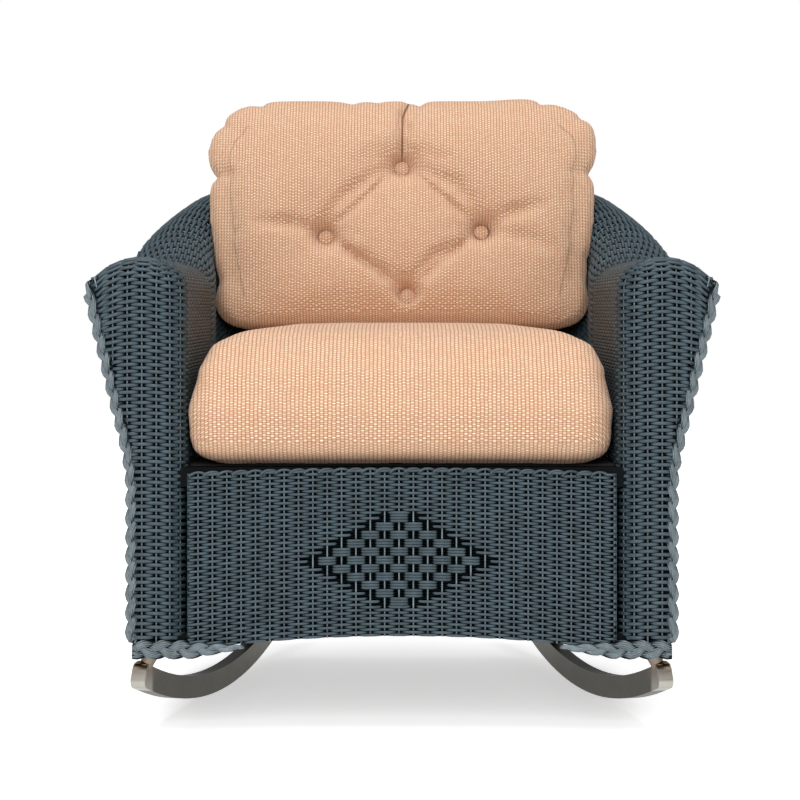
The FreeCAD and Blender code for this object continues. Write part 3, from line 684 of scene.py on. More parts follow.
def laid(spot, facing, lift, side):
    """A strand's point over or under the stakes, with its height as a fourth value: 1 over, 0 under, which the
    strand finish turns into painted shade.
    """
    point = spot + facing * lift * side
    return Vector((*point, max(0.0, side)))


def side_of(stake, row):
    """Over or under: neighbours in a plain weave take turns."""
    return 1 if (stake + row) % 2 == 0 else -1


def arm_rows(look):
    """Rows of the right arm: across its front, round the edge and back along its inner side and top."""
    paths = []
    foot = ARM_CUT.over + ARM_CUT.top_z - ARM_HEM_Z
    for row, s in rows_between(look.row_pitch / 2, foot, look.row_pitch):
        h = ARM_CUT.over - s
        path = []
        cut = ARM_CUT.inner(s)
        reach = SEAT_HALF + cut[0] if h > OVER_FILLET else SEAT_HALF + FRONT_ROUND
        for side, count in stations(-1.0, FRONT_STAKES, row):
            x = front_x(count)
            spot, facing = front_spot(x, h)
            limit = outer_edge_x(spot.z) + (UNDER_PLAIT if h < OVER_FILLET else SHORT_OF_RIM)
            if x > limit or x < reach:
                continue
            if not path:
                # 0.5: half painted shade where the row starts at the arm's outer edge
                path.append(Vector((*front_spot(limit, h)[0], 0.5)))
            path.append(laid(spot, facing, look.lift, side))
        if h <= OVER_FILLET:
            ease = math.cos(max(0.0, h) / FILLET)
            for side, count in stations(FRONT_STAKES, ARM_FIRST, row):
                path.append(laid(*corner_spot(count, h), look.lift * ease, side))
        elif reach < SEAT_HALF + RIM_REACH_ARM:
            # A side of 0.0 gives no lift and a height of 0, so this point takes full painted shade
            path.append(laid(*front_spot(reach, h), look.lift, 0.0))
        if h > DECK_Z - ARM_TOP_Z:
            turn_back = front_back(h) if h > 0 else 0.0
            for side, count in stations(ARM_FIRST, ARM_LAST, row) + [(side_of(ARM_LAST, row), ARM_LAST)]:
                stop = Stop(count)
                if stop.base[1] > turn_back:
                    path.append(laid(*stop.place(*cut), look.lift, side))
        paths.append(path)
    return drawable(paths)


def arm_stakes():
    """Stakes of the right arm: up its front, its rounded edge and its inner side, and over its top."""
    low = ARM_HEM_Z - CORNER_TOP + FILLET
    paths = []
    for stake in range(FRONT_STAKES + 1):
        x = front_x(stake)
        room = 0.0 if stake else OUTER_STAKE_ROOM
        path = []
        for _, h in rows_between(low, OVER_FILLET + FRONT_STAKE_TAIL, STAKE_STEP):
            spot = front_spot(x, h)[0]
            d = ARM_CUT.inner(max(0.0, ARM_CUT.over - h))[0]
            if x < outer_edge_x(spot.z) - room and (h < OVER_FILLET or x > SEAT_HALF + d):
                path.append(spot)
        paths.append(path)
    for stake in range(FRONT_STAKES + 1, ARM_FIRST + 1):
        paths.append([corner_spot(stake, h)[0] for _, h in rows_between(low, OVER_FILLET, STAKE_STEP)])
    for stake in range(ARM_FIRST + 1, ARM_LAST + 1):
        stop = Stop(stake)
        places = [s for _, s in rows_between(0.0, ARM_CUT.over + ARM_CUT.wall_length, STAKE_STEP)]
        behind = [s for s in places if stop.base[1] > front_back(ARM_CUT.over - s)]
        paths.append([stop.place(*ARM_CUT.inner(s))[0] for s in behind])
    return drawable(paths)


def arm_shade_sheet():
    """Columns of points just inside the weave of the arm's front and rounded edge, for its painted-shade sheet.
    """
    steps = 44
    low = ARM_HEM_Z - CORNER_TOP + FILLET
    heights = [low + (OVER_FILLET - low) * step / steps for step in range(steps + 1)]
    inner_x = SEAT_HALF + FRONT_ROUND
    columns = []
    for share in (1.0, 0.86, 0.72, 0.58, 0.44, 0.29, 0.14, 0.0):
        widths = [outer_edge_x(front_spot(inner_x, h)[0].z) + UNDER_PLAIT - inner_x for h in heights]
        columns.append(inset(front_spot(inner_x + width * share, h) for width, h in zip(widths, heights)))
    for count in (4.75, 5.5, 6.25, 7.0):
        columns.append(inset(corner_spot(count, h) for h in heights))
    return columns


def inner_profile(stop):
    """From the rim over the roll and down the inner wall, with the way that each point faces."""
    full = stop.cut.over + stop.cut.wall_length
    return [stop.place(*stop.cut.inner(full * step / 36)) for step in range(37)]


def arm_side_shade_sheet():
    counts = (ARM_FIRST, ARM_FIRST + 1, ARM_FIRST + 2, ARM_FIRST + 6, ARM_FIRST + 12, ARM_LAST)
    return [inset(inner_profile(Stop(count))) for count in counts]


def stops_of(first, last):
    """Stops of an even row and of an odd row between two counts."""
    rows = []
    for row in (0, 1):
        between = [place for place in stations(first, last, row) if first < place[1] < last]
        ends = [(side_of(round(count), row), count) for count in (first, last)]
        rows.append([(side, Stop(count)) for side, count in (ends[0], *between, ends[1])])
    return rows


def row_of(stops, cut_at, lift):
    """One row past the stops, broken where cut_at gives no place."""
    paths = [[]]
    for side, stop in stops:
        cut = cut_at(stop)
        if cut:
            paths[-1].append(laid(*stop.place(*cut), lift, side))
        else:
            paths.append([])
    return drawable(paths)


def back_inner_rows(look):
    """Rows of the back's inner side, down to the deck."""
    paths = []
    highest = Cut(1.0, 1.0)
    stops = stops_of(ARM_LAST, 2 * MIDDLE - ARM_LAST)
    for row, s in rows_between(look.row_pitch / 2, highest.over + highest.wall_length, look.row_pitch):
        def over_deck(stop):
            cut = stop.cut.inner(s)
            return None if cut[1] < DECK_Z + look.strand_radius else cut

        paths += row_of(stops[row % 2], over_deck, look.lift)
    return paths


def outer_rows(look, first, last):
    """Rows of the outer side: level ones below the flare, and above it rows that follow the rim."""
    stops = stops_of(first, last)
    paths = []
    row = -1
    for row, z in rows_between(HEM_Z + look.row_pitch / 2, FLARE_Z, look.row_pitch):
        paths += row_of(stops[row % 2], lambda stop: (LOW_REACH - SKIN, z, 1.0, 0.0), look.lift)
    limit = max(stop.cut.slant()[2] for _, stop in stops[0])
    for row, s in rows_between(look.row_pitch / 2, limit, look.row_pitch, row + 1):
        def on_slant(stop):
            return None if s > stop.cut.slant()[2] else stop.cut.outer(s)

        paths += row_of(stops[row % 2], on_slant, look.lift)
    return paths


def outer_profile(stop, depth):
    """From the rim down to the hem."""
    length = stop.cut.slant()[2]
    spots = [stop.place(*stop.cut.outer(length * step / 12)) for step in range(12)]
    below = [FLARE_Z + (HEM_Z - FLARE_Z) * step / 10 for step in range(11)]
    return inset(spots + [stop.place(LOW_REACH - SKIN, z, 1.0, 0.0) for z in below], depth)


def outer_counts(first, last):
    return [first, *range(math.floor(first) + 1, math.ceil(last)), last]


# The skirt
SKIRT_HALF = 0.287
SKIRT_LOW = 0.115
SKIRT_ARCH = 0.019
SKIRT_TOP = 0.351
SKIRT_CROWN = 0.006
SKIRT_BACK = 0.0092
SKIRT_MIDDLE = -0.004
SKIRT_SHADE_SHEET = 0.0034
DIAMOND_LOW = 0.1735
DIAMOND_GROUPS = 11
DIAMOND_FLOAT = 0.34
DIAMOND_DIP = 0.3
BORDER_RADIUS = 0.0017
BORDER_STAKES = 14
BORDER_SPAN = 0.62
BORDER_SINK = 0.0055
BORDER_RISE = 0.0068
BORDER_TUCK = 0.0022
BORDER_STAND = 0.0012


def skirt_z(x, share):
    """Height on the skirt, from the arched hem to the crowned top."""
    bend = 1 - (x / SKIRT_HALF) ** 2
    foot = SKIRT_LOW + SKIRT_ARCH * bend
    return foot + (SKIRT_TOP + SKIRT_CROWN * bend - foot) * share


def skirt_side_of(stake, row, diamond_row):
    """The skirt's plain weave, with a diamond of three-strand floats in its middle."""
    group = (row - diamond_row) // 3
    if 0 <= group < DIAMOND_GROUPS:
        floats = min(group, DIAMOND_GROUPS - 1 - group) + 1
        if abs(stake) <= floats:
            side = 1 if (stake - floats + 1) % 2 == 0 else -1
            return side, DIAMOND_FLOAT if side > 0 else DIAMOND_DIP
    side = side_of(stake, row)
    return side, reach_of(side)


def skirt_weave(look):
    """Rows and stakes of the skirt."""
    first = math.ceil((-SKIRT_HALF - SKIRT_MIDDLE) / look.skirt_stake_pitch)
    last = math.floor((SKIRT_HALF - SKIRT_MIDDLE) / look.skirt_stake_pitch)
    rise = SKIRT_TOP + SKIRT_CROWN - SKIRT_LOW - SKIRT_ARCH
    count = round(rise / look.skirt_row_pitch)
    diamond_row = round((DIAMOND_LOW - SKIRT_LOW - SKIRT_ARCH) / look.skirt_row_pitch)
    ahead = Vector((0, -1, 0))
    paths = []
    for row in range(count):
        share = (row + 0.5) / count
        path = []
        for stake in range(first - 1, last + 2):
            side, reach = skirt_side_of(stake, row, diamond_row)
            for offset in (-reach, reach):
                x = SKIRT_MIDDLE + (stake + offset) * look.skirt_stake_pitch
                if abs(x) <= SKIRT_HALF - 0.001:
                    spot = spot_at(x, SKIRT_BACK, skirt_z(x, share))
                    path.append(laid(spot, ahead, look.lift, side))
        starts, ends = (
            Vector((math.copysign(SKIRT_HALF - 0.0005, point.x), *point[1:])) for point in (path[0], path[-1]))
        paths.append([starts, *path, ends])
    stakes = []
    for stake in range(first, last + 1):
        x = SKIRT_MIDDLE + stake * look.skirt_stake_pitch
        stakes.append([spot_at(x, SKIRT_BACK - 0.0004, skirt_z(x, step / 8)) for step in range(9)])
    return paths, stakes


def skirt_border(look):
    """The scalloped edge along the skirt's top: a loop over each stake, each tucked under the next."""
    paths = []
    pitch = look.skirt_stake_pitch
    for stake in range(-BORDER_STAKES, BORDER_STAKES + 1):
        path = []
        for step in range(9):
            turn = math.pi * step / 8
            x = SKIRT_MIDDLE + stake * pitch - pitch * BORDER_SPAN * math.cos(turn)
            if abs(x) <= SKIRT_HALF:
                ahead = BORDER_TUCK * math.cos(turn) + BORDER_STAND
                z = skirt_z(x, 1.0) - BORDER_SINK + BORDER_RISE * math.sin(turn)
                path.append(spot_at(x, SKIRT_BACK - BORDER_STAND - ahead, z))
        paths.append(path)
    for x in (BORDER_STAND - SKIRT_HALF, SKIRT_HALF - BORDER_STAND):
        paths.append([spot_at(x, SKIRT_BACK - 0.0008, skirt_z(x, step / 4)) for step in range(5)])
    return drawable(paths)


def skirt_shade_sheets():
    """The painted-shade sheet behind the skirt, and the dark strips beside it that close its seams with the arms,
    all standing in for the shadow there.
    """
    spans = [SKIRT_HALF * (step / 12 - 1) for step in range(25)]
    ends = (0.003, 0.99)
    back = SKIRT_BACK + SKIRT_SHADE_SHEET
    sheets = [[[spot_at(x, back, skirt_z(x, share)) for share in ends] for x in spans]]
    heights = (ARM_HEM_Z - 0.006, DECK_Z - 0.02)
    for side in (-1, 1):
        near = [spot_at(side * (SKIRT_HALF - 0.003), SKIRT_BACK + 0.005, z) for z in heights]
        far = [spot_at(side * (SEAT_HALF + 0.010), SKIRT_BACK + 0.030, z) for z in heights]
        sheets.append([near, far])
    return sheets


# Plaits
PLAIT_PERIOD = 0.076
PLAIT_HALF = 0.0118
PLAIT_SWING = PLAIT_HALF * 0.52
PLAIT_LIFT = 0.0030
PLAIT_CROWN = 0.0018
PLAIT_TURN = math.radians(46)
CORD = 0.00135
CORDS = 5
CORD_SPREAD = 1.56
EDGE_STAND = 0.0058
EDGE_BACK = 0.0070
RIM_PLAIT_DOWN = 0.013
RIM_PLAIT_STAND = 0.004
RIM_PLAIT_BACK = 0.029
HEM_PLAIT_Z = 0.1168
HEM_PLAIT_BACK = 0.0045
HEM_PLAIT_WIDE = 1.2


def plait_paths(route):
    """Three strands of cords, plaited along a route of (point, across, facing, width share), with painted light
    and shade on each point as its fourth value.
    """
    lengths = [0.0]
    for (point, *_), (after, *_) in zip(route, route[1:]):
        lengths.append(lengths[-1] + (after - point).length)
    steps = max(4, round(lengths[-1] / (PLAIT_PERIOD / 12)))
    middle = (CORDS - 1) / 2
    paths = [[] for _ in range(3 * CORDS)]
    index = 0
    for step in range(steps + 1):
        t = lengths[-1] * step / steps
        while index < len(route) - 2 and lengths[index + 1] < t:
            index += 1
        share = (t - lengths[index]) / (lengths[index + 1] - lengths[index])
        point, across, facing = (
            first.lerp(last, share) for first, last in zip(route[index][:3], route[index + 1][:3]))
        across.normalize()
        facing.normalize()
        wide = route[index][3] + (route[index + 1][3] - route[index][3]) * share
        for strand in range(3):
            phase = 2 * math.pi * (t / PLAIT_PERIOD + strand / 3)
            aside = math.sin(phase) * PLAIT_SWING
            lift = math.sin(2 * phase) * PLAIT_LIFT
            for cord in range(CORDS):
                offset = (cord - middle) * CORD * CORD_SPREAD
                crown = PLAIT_CROWN * (1 - ((cord - middle) / middle) ** 2)
                spot = point + across * (aside + offset) * wide + facing * (lift + crown) * wide
                # Painted light and shade: lighter along the middle of each strand, darker at its edges and where
                # it dives under the others
                painted_lightness = 0.24 + 0.30 * math.sin(2 * phase) + 0.50 * (1 - abs(cord - middle) / middle)
                paths[strand * CORDS + cord].append(Vector((*spot, painted_lightness)))
    return paths


def edge_route():
    """The plait's middle line on the right: up the arm's front edge, over its corner and back along the rim."""
    corner_radius = 0.012
    rim_gap = 0.011
    narrowing = 0.35
    run, rise, length = ARM_CUT.slant()
    along = Vector((run / length, 0, rise / length))
    outward = Vector((rise / length, 0, -run / length))
    ahead = Vector((0, 1, 0))

    def turned(out, share):
        """Which way the plait lies: part outwards and part forwards round the front edge."""
        turn = PLAIT_TURN * share
        return ahead * math.cos(turn) + out * math.sin(turn), out * math.cos(turn) - ahead * math.sin(turn)

    def on_slant(up, back):
        """A point on the slant by its distance up from the flare."""
        base = spot_at(SEAT_HALF + LOW_REACH, back, FLARE_Z)
        return base + along * up + outward * (EDGE_STAND + 0.002 * max(0.0, up / length))

    route = []
    for step in range(9):
        z = ARM_HEM_Z + (FLARE_Z - 0.02 - ARM_HEM_Z) * step / 8
        spot = spot_at(SEAT_HALF + LOW_REACH + EDGE_STAND, EDGE_BACK, z)
        route.append((spot, *turned(Vector((1, 0, 0)), 1.0), 1.0))
    top = length - rim_gap - corner_radius
    for step in range(1, 13):
        route.append((on_slant(top * step / 12, EDGE_BACK), *turned(outward, 1.0), 1.0))
    for step in range(1, 9):
        turn = math.pi / 2 * step / 8
        across, facing = turned(outward, 1.0 - step / 8)
        up = top + corner_radius * math.sin(turn)
        back = EDGE_BACK + corner_radius * (1 - math.cos(turn))
        across = across * math.cos(turn) - along * math.sin(turn)
        route.append((on_slant(up, back), across.normalized(), facing, 1.0 - narrowing * step / 8))
    return route


def rim_route(first, last):
    """The plait's middle line along the rim, between two stake counts."""
    route = []
    for count in outer_counts(first, last):
        stop = Stop(count)
        d, z, nd, nz = stop.cut.outer(RIM_PLAIT_DOWN)
        spot, facing = stop.place(d, z, nd, nz)
        run, rise, length = stop.cut.slant()
        up = stop.place(d + run / length * 0.01, z + rise / length * 0.01, nd, nz)[0] - spot
        route.append((spot + facing * (SKIN + RIM_PLAIT_STAND), -up.normalized(), facing, 1.0))
    return route


def hem_route():
    """The plait that closes the arm front's foot and runs out, narrowing, under the skirt."""
    outer_x, inner_x, end_x = 0.360, 0.295, 0.211
    lie = (Vector((0, 0, 1)), Vector((0, -1, 0)))
    route = []
    for step in range(9):
        x = outer_x + (inner_x - outer_x) * step / 8
        route.append((spot_at(x, HEM_PLAIT_BACK, HEM_PLAIT_Z), *lie, HEM_PLAIT_WIDE))
    for step in range(1, 13):
        share = step / 12
        x = inner_x + (end_x - inner_x) * share
        spot = spot_at(x, HEM_PLAIT_BACK, HEM_PLAIT_Z - 0.002 + 0.005 * share)
        route.append((spot, *lie, HEM_PLAIT_WIDE - 1.05 * share))
    return route


# Cushions
BACK_TILT = math.atan2(BACK_LEAN, ARM_TOP_Z + BACK_RISE - DECK_Z)
BACK_UP = Vector((0, math.sin(BACK_TILT), math.cos(BACK_TILT)))
BACK_IN = Vector((0, math.cos(BACK_TILT), -math.sin(BACK_TILT)))
BUTTON_DEEP = 0.034
BUTTON_HOLD = 0.013
BACK_STRIPE_SHARE = 0.85
CLOTH_FRAMES = 20
CLOTH_PRESSURE = 4.0
RISE_KEPT = 0.7
LEAST_RISE = -0.001
SEAT_MESH = 0.007
SEAT_SWELL = 0.005
BACK_MESH = 0.0055
BACK_SWELL = 0.007
WELT_DEEP = 0.021
NO_WELT = -1.0

# How far the cushions are filled out past their CAD covers, and the seat's front shifted
BACK_WIDER = 0.014
BACK_HIGHER = 0.004
BACK_FOOT_WIDER = 0.030
SEAT_FULLER = 0.015
SEAT_FOOT_FULLER = 0.006
SEAT_SHIFT_LEFT = 0.008
SEAT_SHIFT_RIGHT = 0.003

# Places on the back cushion's face: across, and up from its foot
FACE_MIDDLE = Vector((0.0, 0.17))
SCALLOPS_FROM = 0.13
WELT_FROM = 0.225
WELT_TOP = 0.325
BUTTONS = HIGH, LEFT, RIGHT, LOW = (0.0, 0.257), (-0.120, 0.145), (0.125, 0.153), (0.008, 0.051)
FOLD_FOOT = (0.0, 0.262)
FOLD_LINE = ((0.001, 0.300), (0.001, 0.335), (0.010, 0.362), (0.020, 0.400))

# Creases: their points, width, and depth at the start, middle and end; one that bulges has depths below 0
GATHERS = (
    (((-0.310, 0.252), (-0.235, 0.246)), 0.011, (0.020, 0.014, 0.0)),
    (((-0.280, 0.335), (-0.215, 0.290)), 0.009, (0.009, 0.007, 0.0)),
    (((-0.232, 0.385), (-0.190, 0.320)), 0.010, (0.016, 0.010, 0.0)),
    (((-0.085, 0.390), (-0.078, 0.340)), 0.012, (0.010, 0.007, 0.0)),
    (((-0.038, 0.390), (-0.040, 0.345)), 0.009, (0.006, 0.004, 0.0)),
    (((0.028, 0.395), (0.030, 0.340)), 0.007, (0.014, 0.009, 0.0)),
    (((0.226, 0.385), (0.190, 0.320)), 0.010, (0.014, 0.009, 0.0)),
    (((0.276, 0.345), (0.215, 0.290)), 0.009, (0.010, 0.007, 0.0)),
    (((0.310, 0.258), (0.235, 0.250)), 0.011, (0.018, 0.012, 0.0)),
)
SOFT_GATHERS = (
    (((0.268, 0.322), (0.215, 0.270)), 0.030, (-0.013, -0.008, 0.0)),
    (((-0.310, 0.072), (-0.245, 0.080)), 0.012, (0.004, 0.003, 0.0)),
    (((0.310, 0.112), (0.245, 0.115)), 0.012, (0.006, 0.004, 0.0)),
    (((0.190, 0.400), (0.170, 0.350)), 0.040, (-0.008, -0.006, 0.0)),
)
PLEATS = (
    ((LEFT, (-0.113, 0.178), (-0.090, 0.206), (-0.050, 0.236), HIGH), 0.010, (0.004, 0.010, 0.004)),
    ((HIGH, (0.040, 0.243), (0.085, 0.225), (0.108, 0.195), RIGHT), 0.010, (0.004, 0.010, 0.004)),
    ((LEFT, (-0.085, 0.118), (-0.045, 0.096), (-0.015, 0.078), LOW), 0.009, (0.003, 0.009, 0.004)),
    ((RIGHT, (0.095, 0.132), (0.050, 0.108), (0.022, 0.080), LOW), 0.009, (0.003, 0.010, 0.004)),
    ((LEFT, (-0.170, 0.162), (-0.230, 0.164)), 0.010, (0.005, 0.011, 0.0)),
    ((RIGHT, (0.165, 0.178), (0.225, 0.198)), 0.010, (0.005, 0.012, 0.0)),
    ((RIGHT, (0.185, 0.140), (0.245, 0.118)), 0.012, (0.003, 0.006, 0.0)),
    ((LOW, (0.009, 0.020), (0.010, -0.010)), 0.006, (0.003, 0.008, 0.004)),
    ((HIGH, *FOLD_LINE), 0.007, (0.004, 0.016, 0.014)),
    (((0.018, 0.330), (0.028, 0.365), (0.032, 0.395)), 0.006, (0.0, 0.008, 0.010)),
)


def back_origin():
    """The foot of the back cushion's front, on its middle line."""
    spots = [vert.co for vert in NODES["back_cushion_cover"].data.vertices]
    foot, front = (min(spot.dot(way) for spot in spots) for way in (BACK_UP, BACK_IN))
    return BACK_UP * foot + BACK_IN * front


def button_places():
    start = back_origin()
    return [start + Vector((across, 0, 0)) + BACK_UP * up + BACK_IN * BUTTON_DEEP for across, up in BUTTONS]


def outer_shell(node):
    """The outside of a CAD cover, without the hollow's own walls."""
    form = bmesh.new()
    form.from_mesh(NODES[node].data)
    bmesh.ops.remove_doubles(form, verts=form.verts, dist=0.00001)
    left = set(form.verts)
    shells = []
    while left:
        shell = [left.pop()]
        for vert in shell:
            for edge in vert.link_edges:
                other = edge.other_vert(vert)
                if other in left:
                    left.remove(other)
                    shell.append(other)
        shells.append(shell)
    keep = set(max(shells, key=lambda shell: max(vert.co.x for vert in shell)))
    bmesh.ops.delete(form, geom=[vert for vert in form.verts if vert not in keep], context="VERTS")
    return form


def evaluated(piece):
    graph = bpy.context.evaluated_depsgraph_get()
    return bpy.data.meshes.new_from_object(piece.evaluated_get(graph))


def swollen(name, voxel, limit, held):
    """A cushion from its CAD cover: remeshed evenly and blown up as cloth, apart from the places held down."""
    piece = link(name, mesh_of(name, outer_shell(name + "_cover")))
    remesh = piece.modifiers.new("even", "REMESH")
    remesh.mode = "VOXEL"
    remesh.voxel_size = voxel
    even = evaluated(piece)
    piece.modifiers.remove(remesh)
    piece.data = even
    starts = [vert.co.copy() for vert in even.vertices]
    if held:
        group = piece.vertex_groups.new(name="held")
        gaps = [min((vert.co - place).length for place in held) for vert in even.vertices]
        group.add([index for index, gap in enumerate(gaps) if gap < BUTTON_HOLD], 1.0, "REPLACE")
    cloth = piece.modifiers.new("cloth", "CLOTH")
    cloth.settings.quality = 4
    cloth.settings.use_pressure = True
    cloth.settings.uniform_pressure_force = CLOTH_PRESSURE
    cloth.settings.effector_weights.gravity = 0
    cloth.collision_settings.use_collision = False
    if held:
        cloth.settings.vertex_group_mass = "held"
    for frame_number in range(1, CLOTH_FRAMES + 1):
        bpy.context.scene.frame_set(frame_number)
    ends = [vert.co.copy() for vert in evaluated(piece).vertices]
    piece.modifiers.remove(cloth)
    bpy.context.scene.frame_set(1)
    normals = [vert.normal.copy() for vert in even.vertices]
    for vert, first, last, out in zip(even.vertices, starts, ends, normals):
        rise = (last - first).dot(out)
        vert.co = first + out * min(limit, max(LEAST_RISE, rise * RISE_KEPT))
    return piece


def soft_step(value, low, high):
    share = min(1.0, max(0.0, (value - low) / (high - low)))
    return share * share * (3 - 2 * share)


class Crease:
    """A fold pressed into a cushion along a line of points, with its depth at the start, middle and end."""

    def __init__(self, points, width, depths, sharp=False):
        self.points = [Vector(point) for point in points]
        self.total = sum((last - first).length for first, last in zip(self.points, self.points[1:]))
        self.width = width
        self.depths = depths
        self.sharp = sharp

    def press(self, spot):
        """How deep the crease presses at a spot of the cushion's face."""
        nearest, along, walked = 1.0, 0.0, 0.0
        for first, last in zip(self.points, self.points[1:]):
            run = last - first
            share = min(1.0, max(0.0, (spot - first).dot(run) / run.length_squared))
            gap = (spot - first - run * share).length
            if gap < nearest:
                nearest, along = gap, walked + run.length * share
            walked += run.length
        if nearest > self.width * 4:
            return 0.0
        start, middle, end = self.depths
        share = 2 * along / self.total
        depth = start + (middle - start) * share if share < 1 else middle + (end - middle) * (share - 1)
        ratio = nearest / self.width
        return depth * math.exp(-ratio if self.sharp else -ratio * ratio)


def fold_side(face):
    """How far aside of the top fold's line a spot lies, and how much of the fold shows at that height."""
    points = (FOLD_FOOT, *FOLD_LINE)
    line = points[-1][0]
    for first, last in zip(points, points[1:]):
        if face.y < last[1]:
            share = max(0.0, (face.y - first[1]) / (last[1] - first[1]))
            line = first[0] + (last[0] - first[0]) * share
            break
    return face.x - line, soft_step(face.y, FOLD_FOOT[1], 0.280)


def shape_back(piece):
    """Fills out the cushion's sides, gathers its upper corners into scallops and presses its creases."""
    origin = back_origin()
    gathers = [Crease(*values, True) for values in GATHERS] + [Crease(*values) for values in SOFT_GATHERS]
    pleats = [Crease(*values) for values in PLEATS]
    names = ("fold", "fold_share", "welt")
    for name in names:
        piece.data.attributes.new(name, "FLOAT", "POINT")
    layers = [piece.data.attributes[name].data for name in names]
    for vert in piece.data.vertices:
        gap = vert.co - origin
        face = Vector((vert.co.x, gap.dot(BACK_UP)))
        deep = gap.dot(BACK_IN)
        side, share = fold_side(face)
        near_edge = abs(face.x) > WELT_FROM and face.y < WELT_TOP
        values = (side, share * (1 - soft_step(deep, 0.07, 0.10)), deep - WELT_DEEP if near_edge else NO_WELT)
        for layer, value in zip(layers, values):
            layer[vert.index].value = value
        wider = soft_step(abs(face.x), 0.12, 0.27) * soft_step(face.y, 0.03, 0.12) * BACK_WIDER
        vert.co.x += math.copysign(wider, vert.co.x)
        vert.co += BACK_UP * BACK_HIGHER * soft_step(face.y, 0.25, 0.36)
        edge = 1 - soft_step(deep, 0.12, 0.17)
        draw = 0.0
        if (face - FACE_MIDDLE).length > SCALLOPS_FROM and edge:
            draw = sum(crease.press(face) for crease in gathers) * edge
        if abs(draw) > 0.0002:
            inward = (FACE_MIDDLE - face).normalized()
            vert.co += Vector((inward.x, 0, 0)) * draw + BACK_UP * inward.y * draw
        front = 1 - soft_step(deep, 0.06, 0.10)
        foot = (1 - soft_step(face.y, 0.01, 0.10)) * front * soft_step(abs(face.x), 0.12, 0.24)
        foot *= BACK_FOOT_WIDER
        vert.co.x += math.copysign(foot, vert.co.x)
        if front:
            vert.co += BACK_IN * sum(crease.press(face) for crease in pleats) * front


def shape_seat(piece):
    """Keeps the seat cushion's foot flat on the straps, fills out its ends and shifts its front to the left."""
    low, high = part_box("seat_cushion_cover")
    welt = piece.data.attributes.new("welt", "FLOAT", "POINT")
    for vert in piece.data.vertices:
        welt.data[vert.index].value = NO_WELT
        vert.co.z = max(vert.co.z, low[2] + 0.0005)
        rise = (vert.co.z - (low[2] + high[2]) / 2) / ((high[2] - low[2]) / 2)
        square = SEAT_FULLER * soft_step(rise, 0.25, 0.8) + SEAT_FOOT_FULLER * soft_step(-rise, 0.4, 0.9)
        wide = min(high[0] + 0.001, abs(vert.co.x) + square * soft_step(abs(vert.co.x), 0.17, 0.25))
        vert.co.x = math.copysign(max(abs(vert.co.x), wide), vert.co.x)
        ahead = 1 - soft_step(vert.co.y, low[1] + 0.015, low[1] + 0.055)
        shift = SEAT_SHIFT_LEFT if vert.co.x < 0 else SEAT_SHIFT_RIGHT
        vert.co.x -= ahead * shift * soft_step(abs(vert.co.x), 0.1, 0.26)


def finish_cushion(piece, fabric):
    smooth = piece.modifiers.new("even_out", "SMOOTH")
    smooth.factor = 0.5
    smooth.iterations = 1
    divide = piece.modifiers.new("divide", "SUBSURF")
    divide.levels = 1
    divide.render_levels = 1
    piece.data.materials.clear()
    piece.data.materials.append(fabric)
    for face in piece.data.polygons:
        face.use_smooth = True


# Stage
FLOOR_HALF = 8.0
FRONT_LAMP = Vector((-0.5, -5.2, 2.9))
LAMP_AIM = Vector((0, 0, 0.4))

# The picture's side, and the chair's middle line and the horizon in it, in pixels
PICTURE = 800.0
CHAIR_MIDDLE = 402.0
HORIZON = 310.0


# Operators
def weave_materials():
    look = settings("rocker_weave")
    ready = bpy.data.materials
    strand = ready.get("strand") or strand_finish("strand", tuple(look.strand_colour), 0.36)
    stake = ready.get("stake") or strand_finish("stake", tuple(look.stake_colour), 0.4, False)
    # The finish of the dark sheets behind the weave, which are painted shade
    inside = ready.get("weave_inside") or shadow_finish()
    return strand, stake, inside


def woven_piece(name, node, radius, rows, stakes, shade_sheets, border=()):
    """A woven piece: its rows and stakes, a border where it has one, and the dark painted-shade sheets behind
    them.
    """
    strand, stake, inside = weave_materials()
    meshes = [tube_mesh("rows", rows, radius), tube_mesh("stakes", stakes, settings("rocker_weave").stake_radius)]
    finishes = [strand, stake]
    if border:
        meshes.append(tube_mesh("border", border, BORDER_RADIUS))
        finishes.append(strand)
    meshes += [sheet_mesh(columns) for columns in shade_sheets]
    piece_of(name, meshes, finishes + [inside] * len(shade_sheets), [node])


class ROCKER_OT_arms(bpy.types.Operator):
    """Weaves the two arms: front, rounded edge, inner side and rolled top"""
    bl_idname = "rocker.arms"
    bl_label = "Arms"

    def execute(self, context):
        look = settings("rocker_weave")
        rows, stakes = arm_rows(look), arm_stakes()
        shade_sheets = (arm_shade_sheet(), arm_side_shade_sheet())
        for side, name in ((list, "right"), (flipped, "left")):
            forms = (side(rows), side(stakes), [side(lining) for lining in shade_sheets])
            woven_piece("arm_weave_strands_" + name, "arm_weave_" + name, look.strand_radius, *forms)
        return {"FINISHED"}


class ROCKER_OT_outer_sides(bpy.types.Operator):
    """Weaves the outer sides of the arms and the outer shell of the back"""
    bl_idname = "rocker.outer_sides"
    bl_label = "Outer sides"

    def execute(self, context):
        look = settings("rocker_weave")
        left_first = 2 * MIDDLE - ARM_LAST
        spans = (
            ("outer_weave_strands_right", "outer_weave_right", OUTER_FIRST, ARM_LAST),
            ("outer_weave_strands_left", "outer_weave_left", left_first, 2 * MIDDLE - OUTER_FIRST),
            ("back_outer_strands_right", "back_weave_outer", ARM_LAST, MIDDLE),
            ("back_outer_strands_left", "back_weave_outer", MIDDLE, left_first),
        )
        for name, node, first, last in spans:
            stops = [Stop(count) for count in outer_counts(first, last)]
            rows = outer_rows(look, first, last)
            stakes, lining = ([outer_profile(stop, depth) for stop in stops] for depth in (0.0, SHADE_SHEET_DEPTH))
            woven_piece(name, node, look.strand_radius, rows, stakes, [lining])
        return {"FINISHED"}


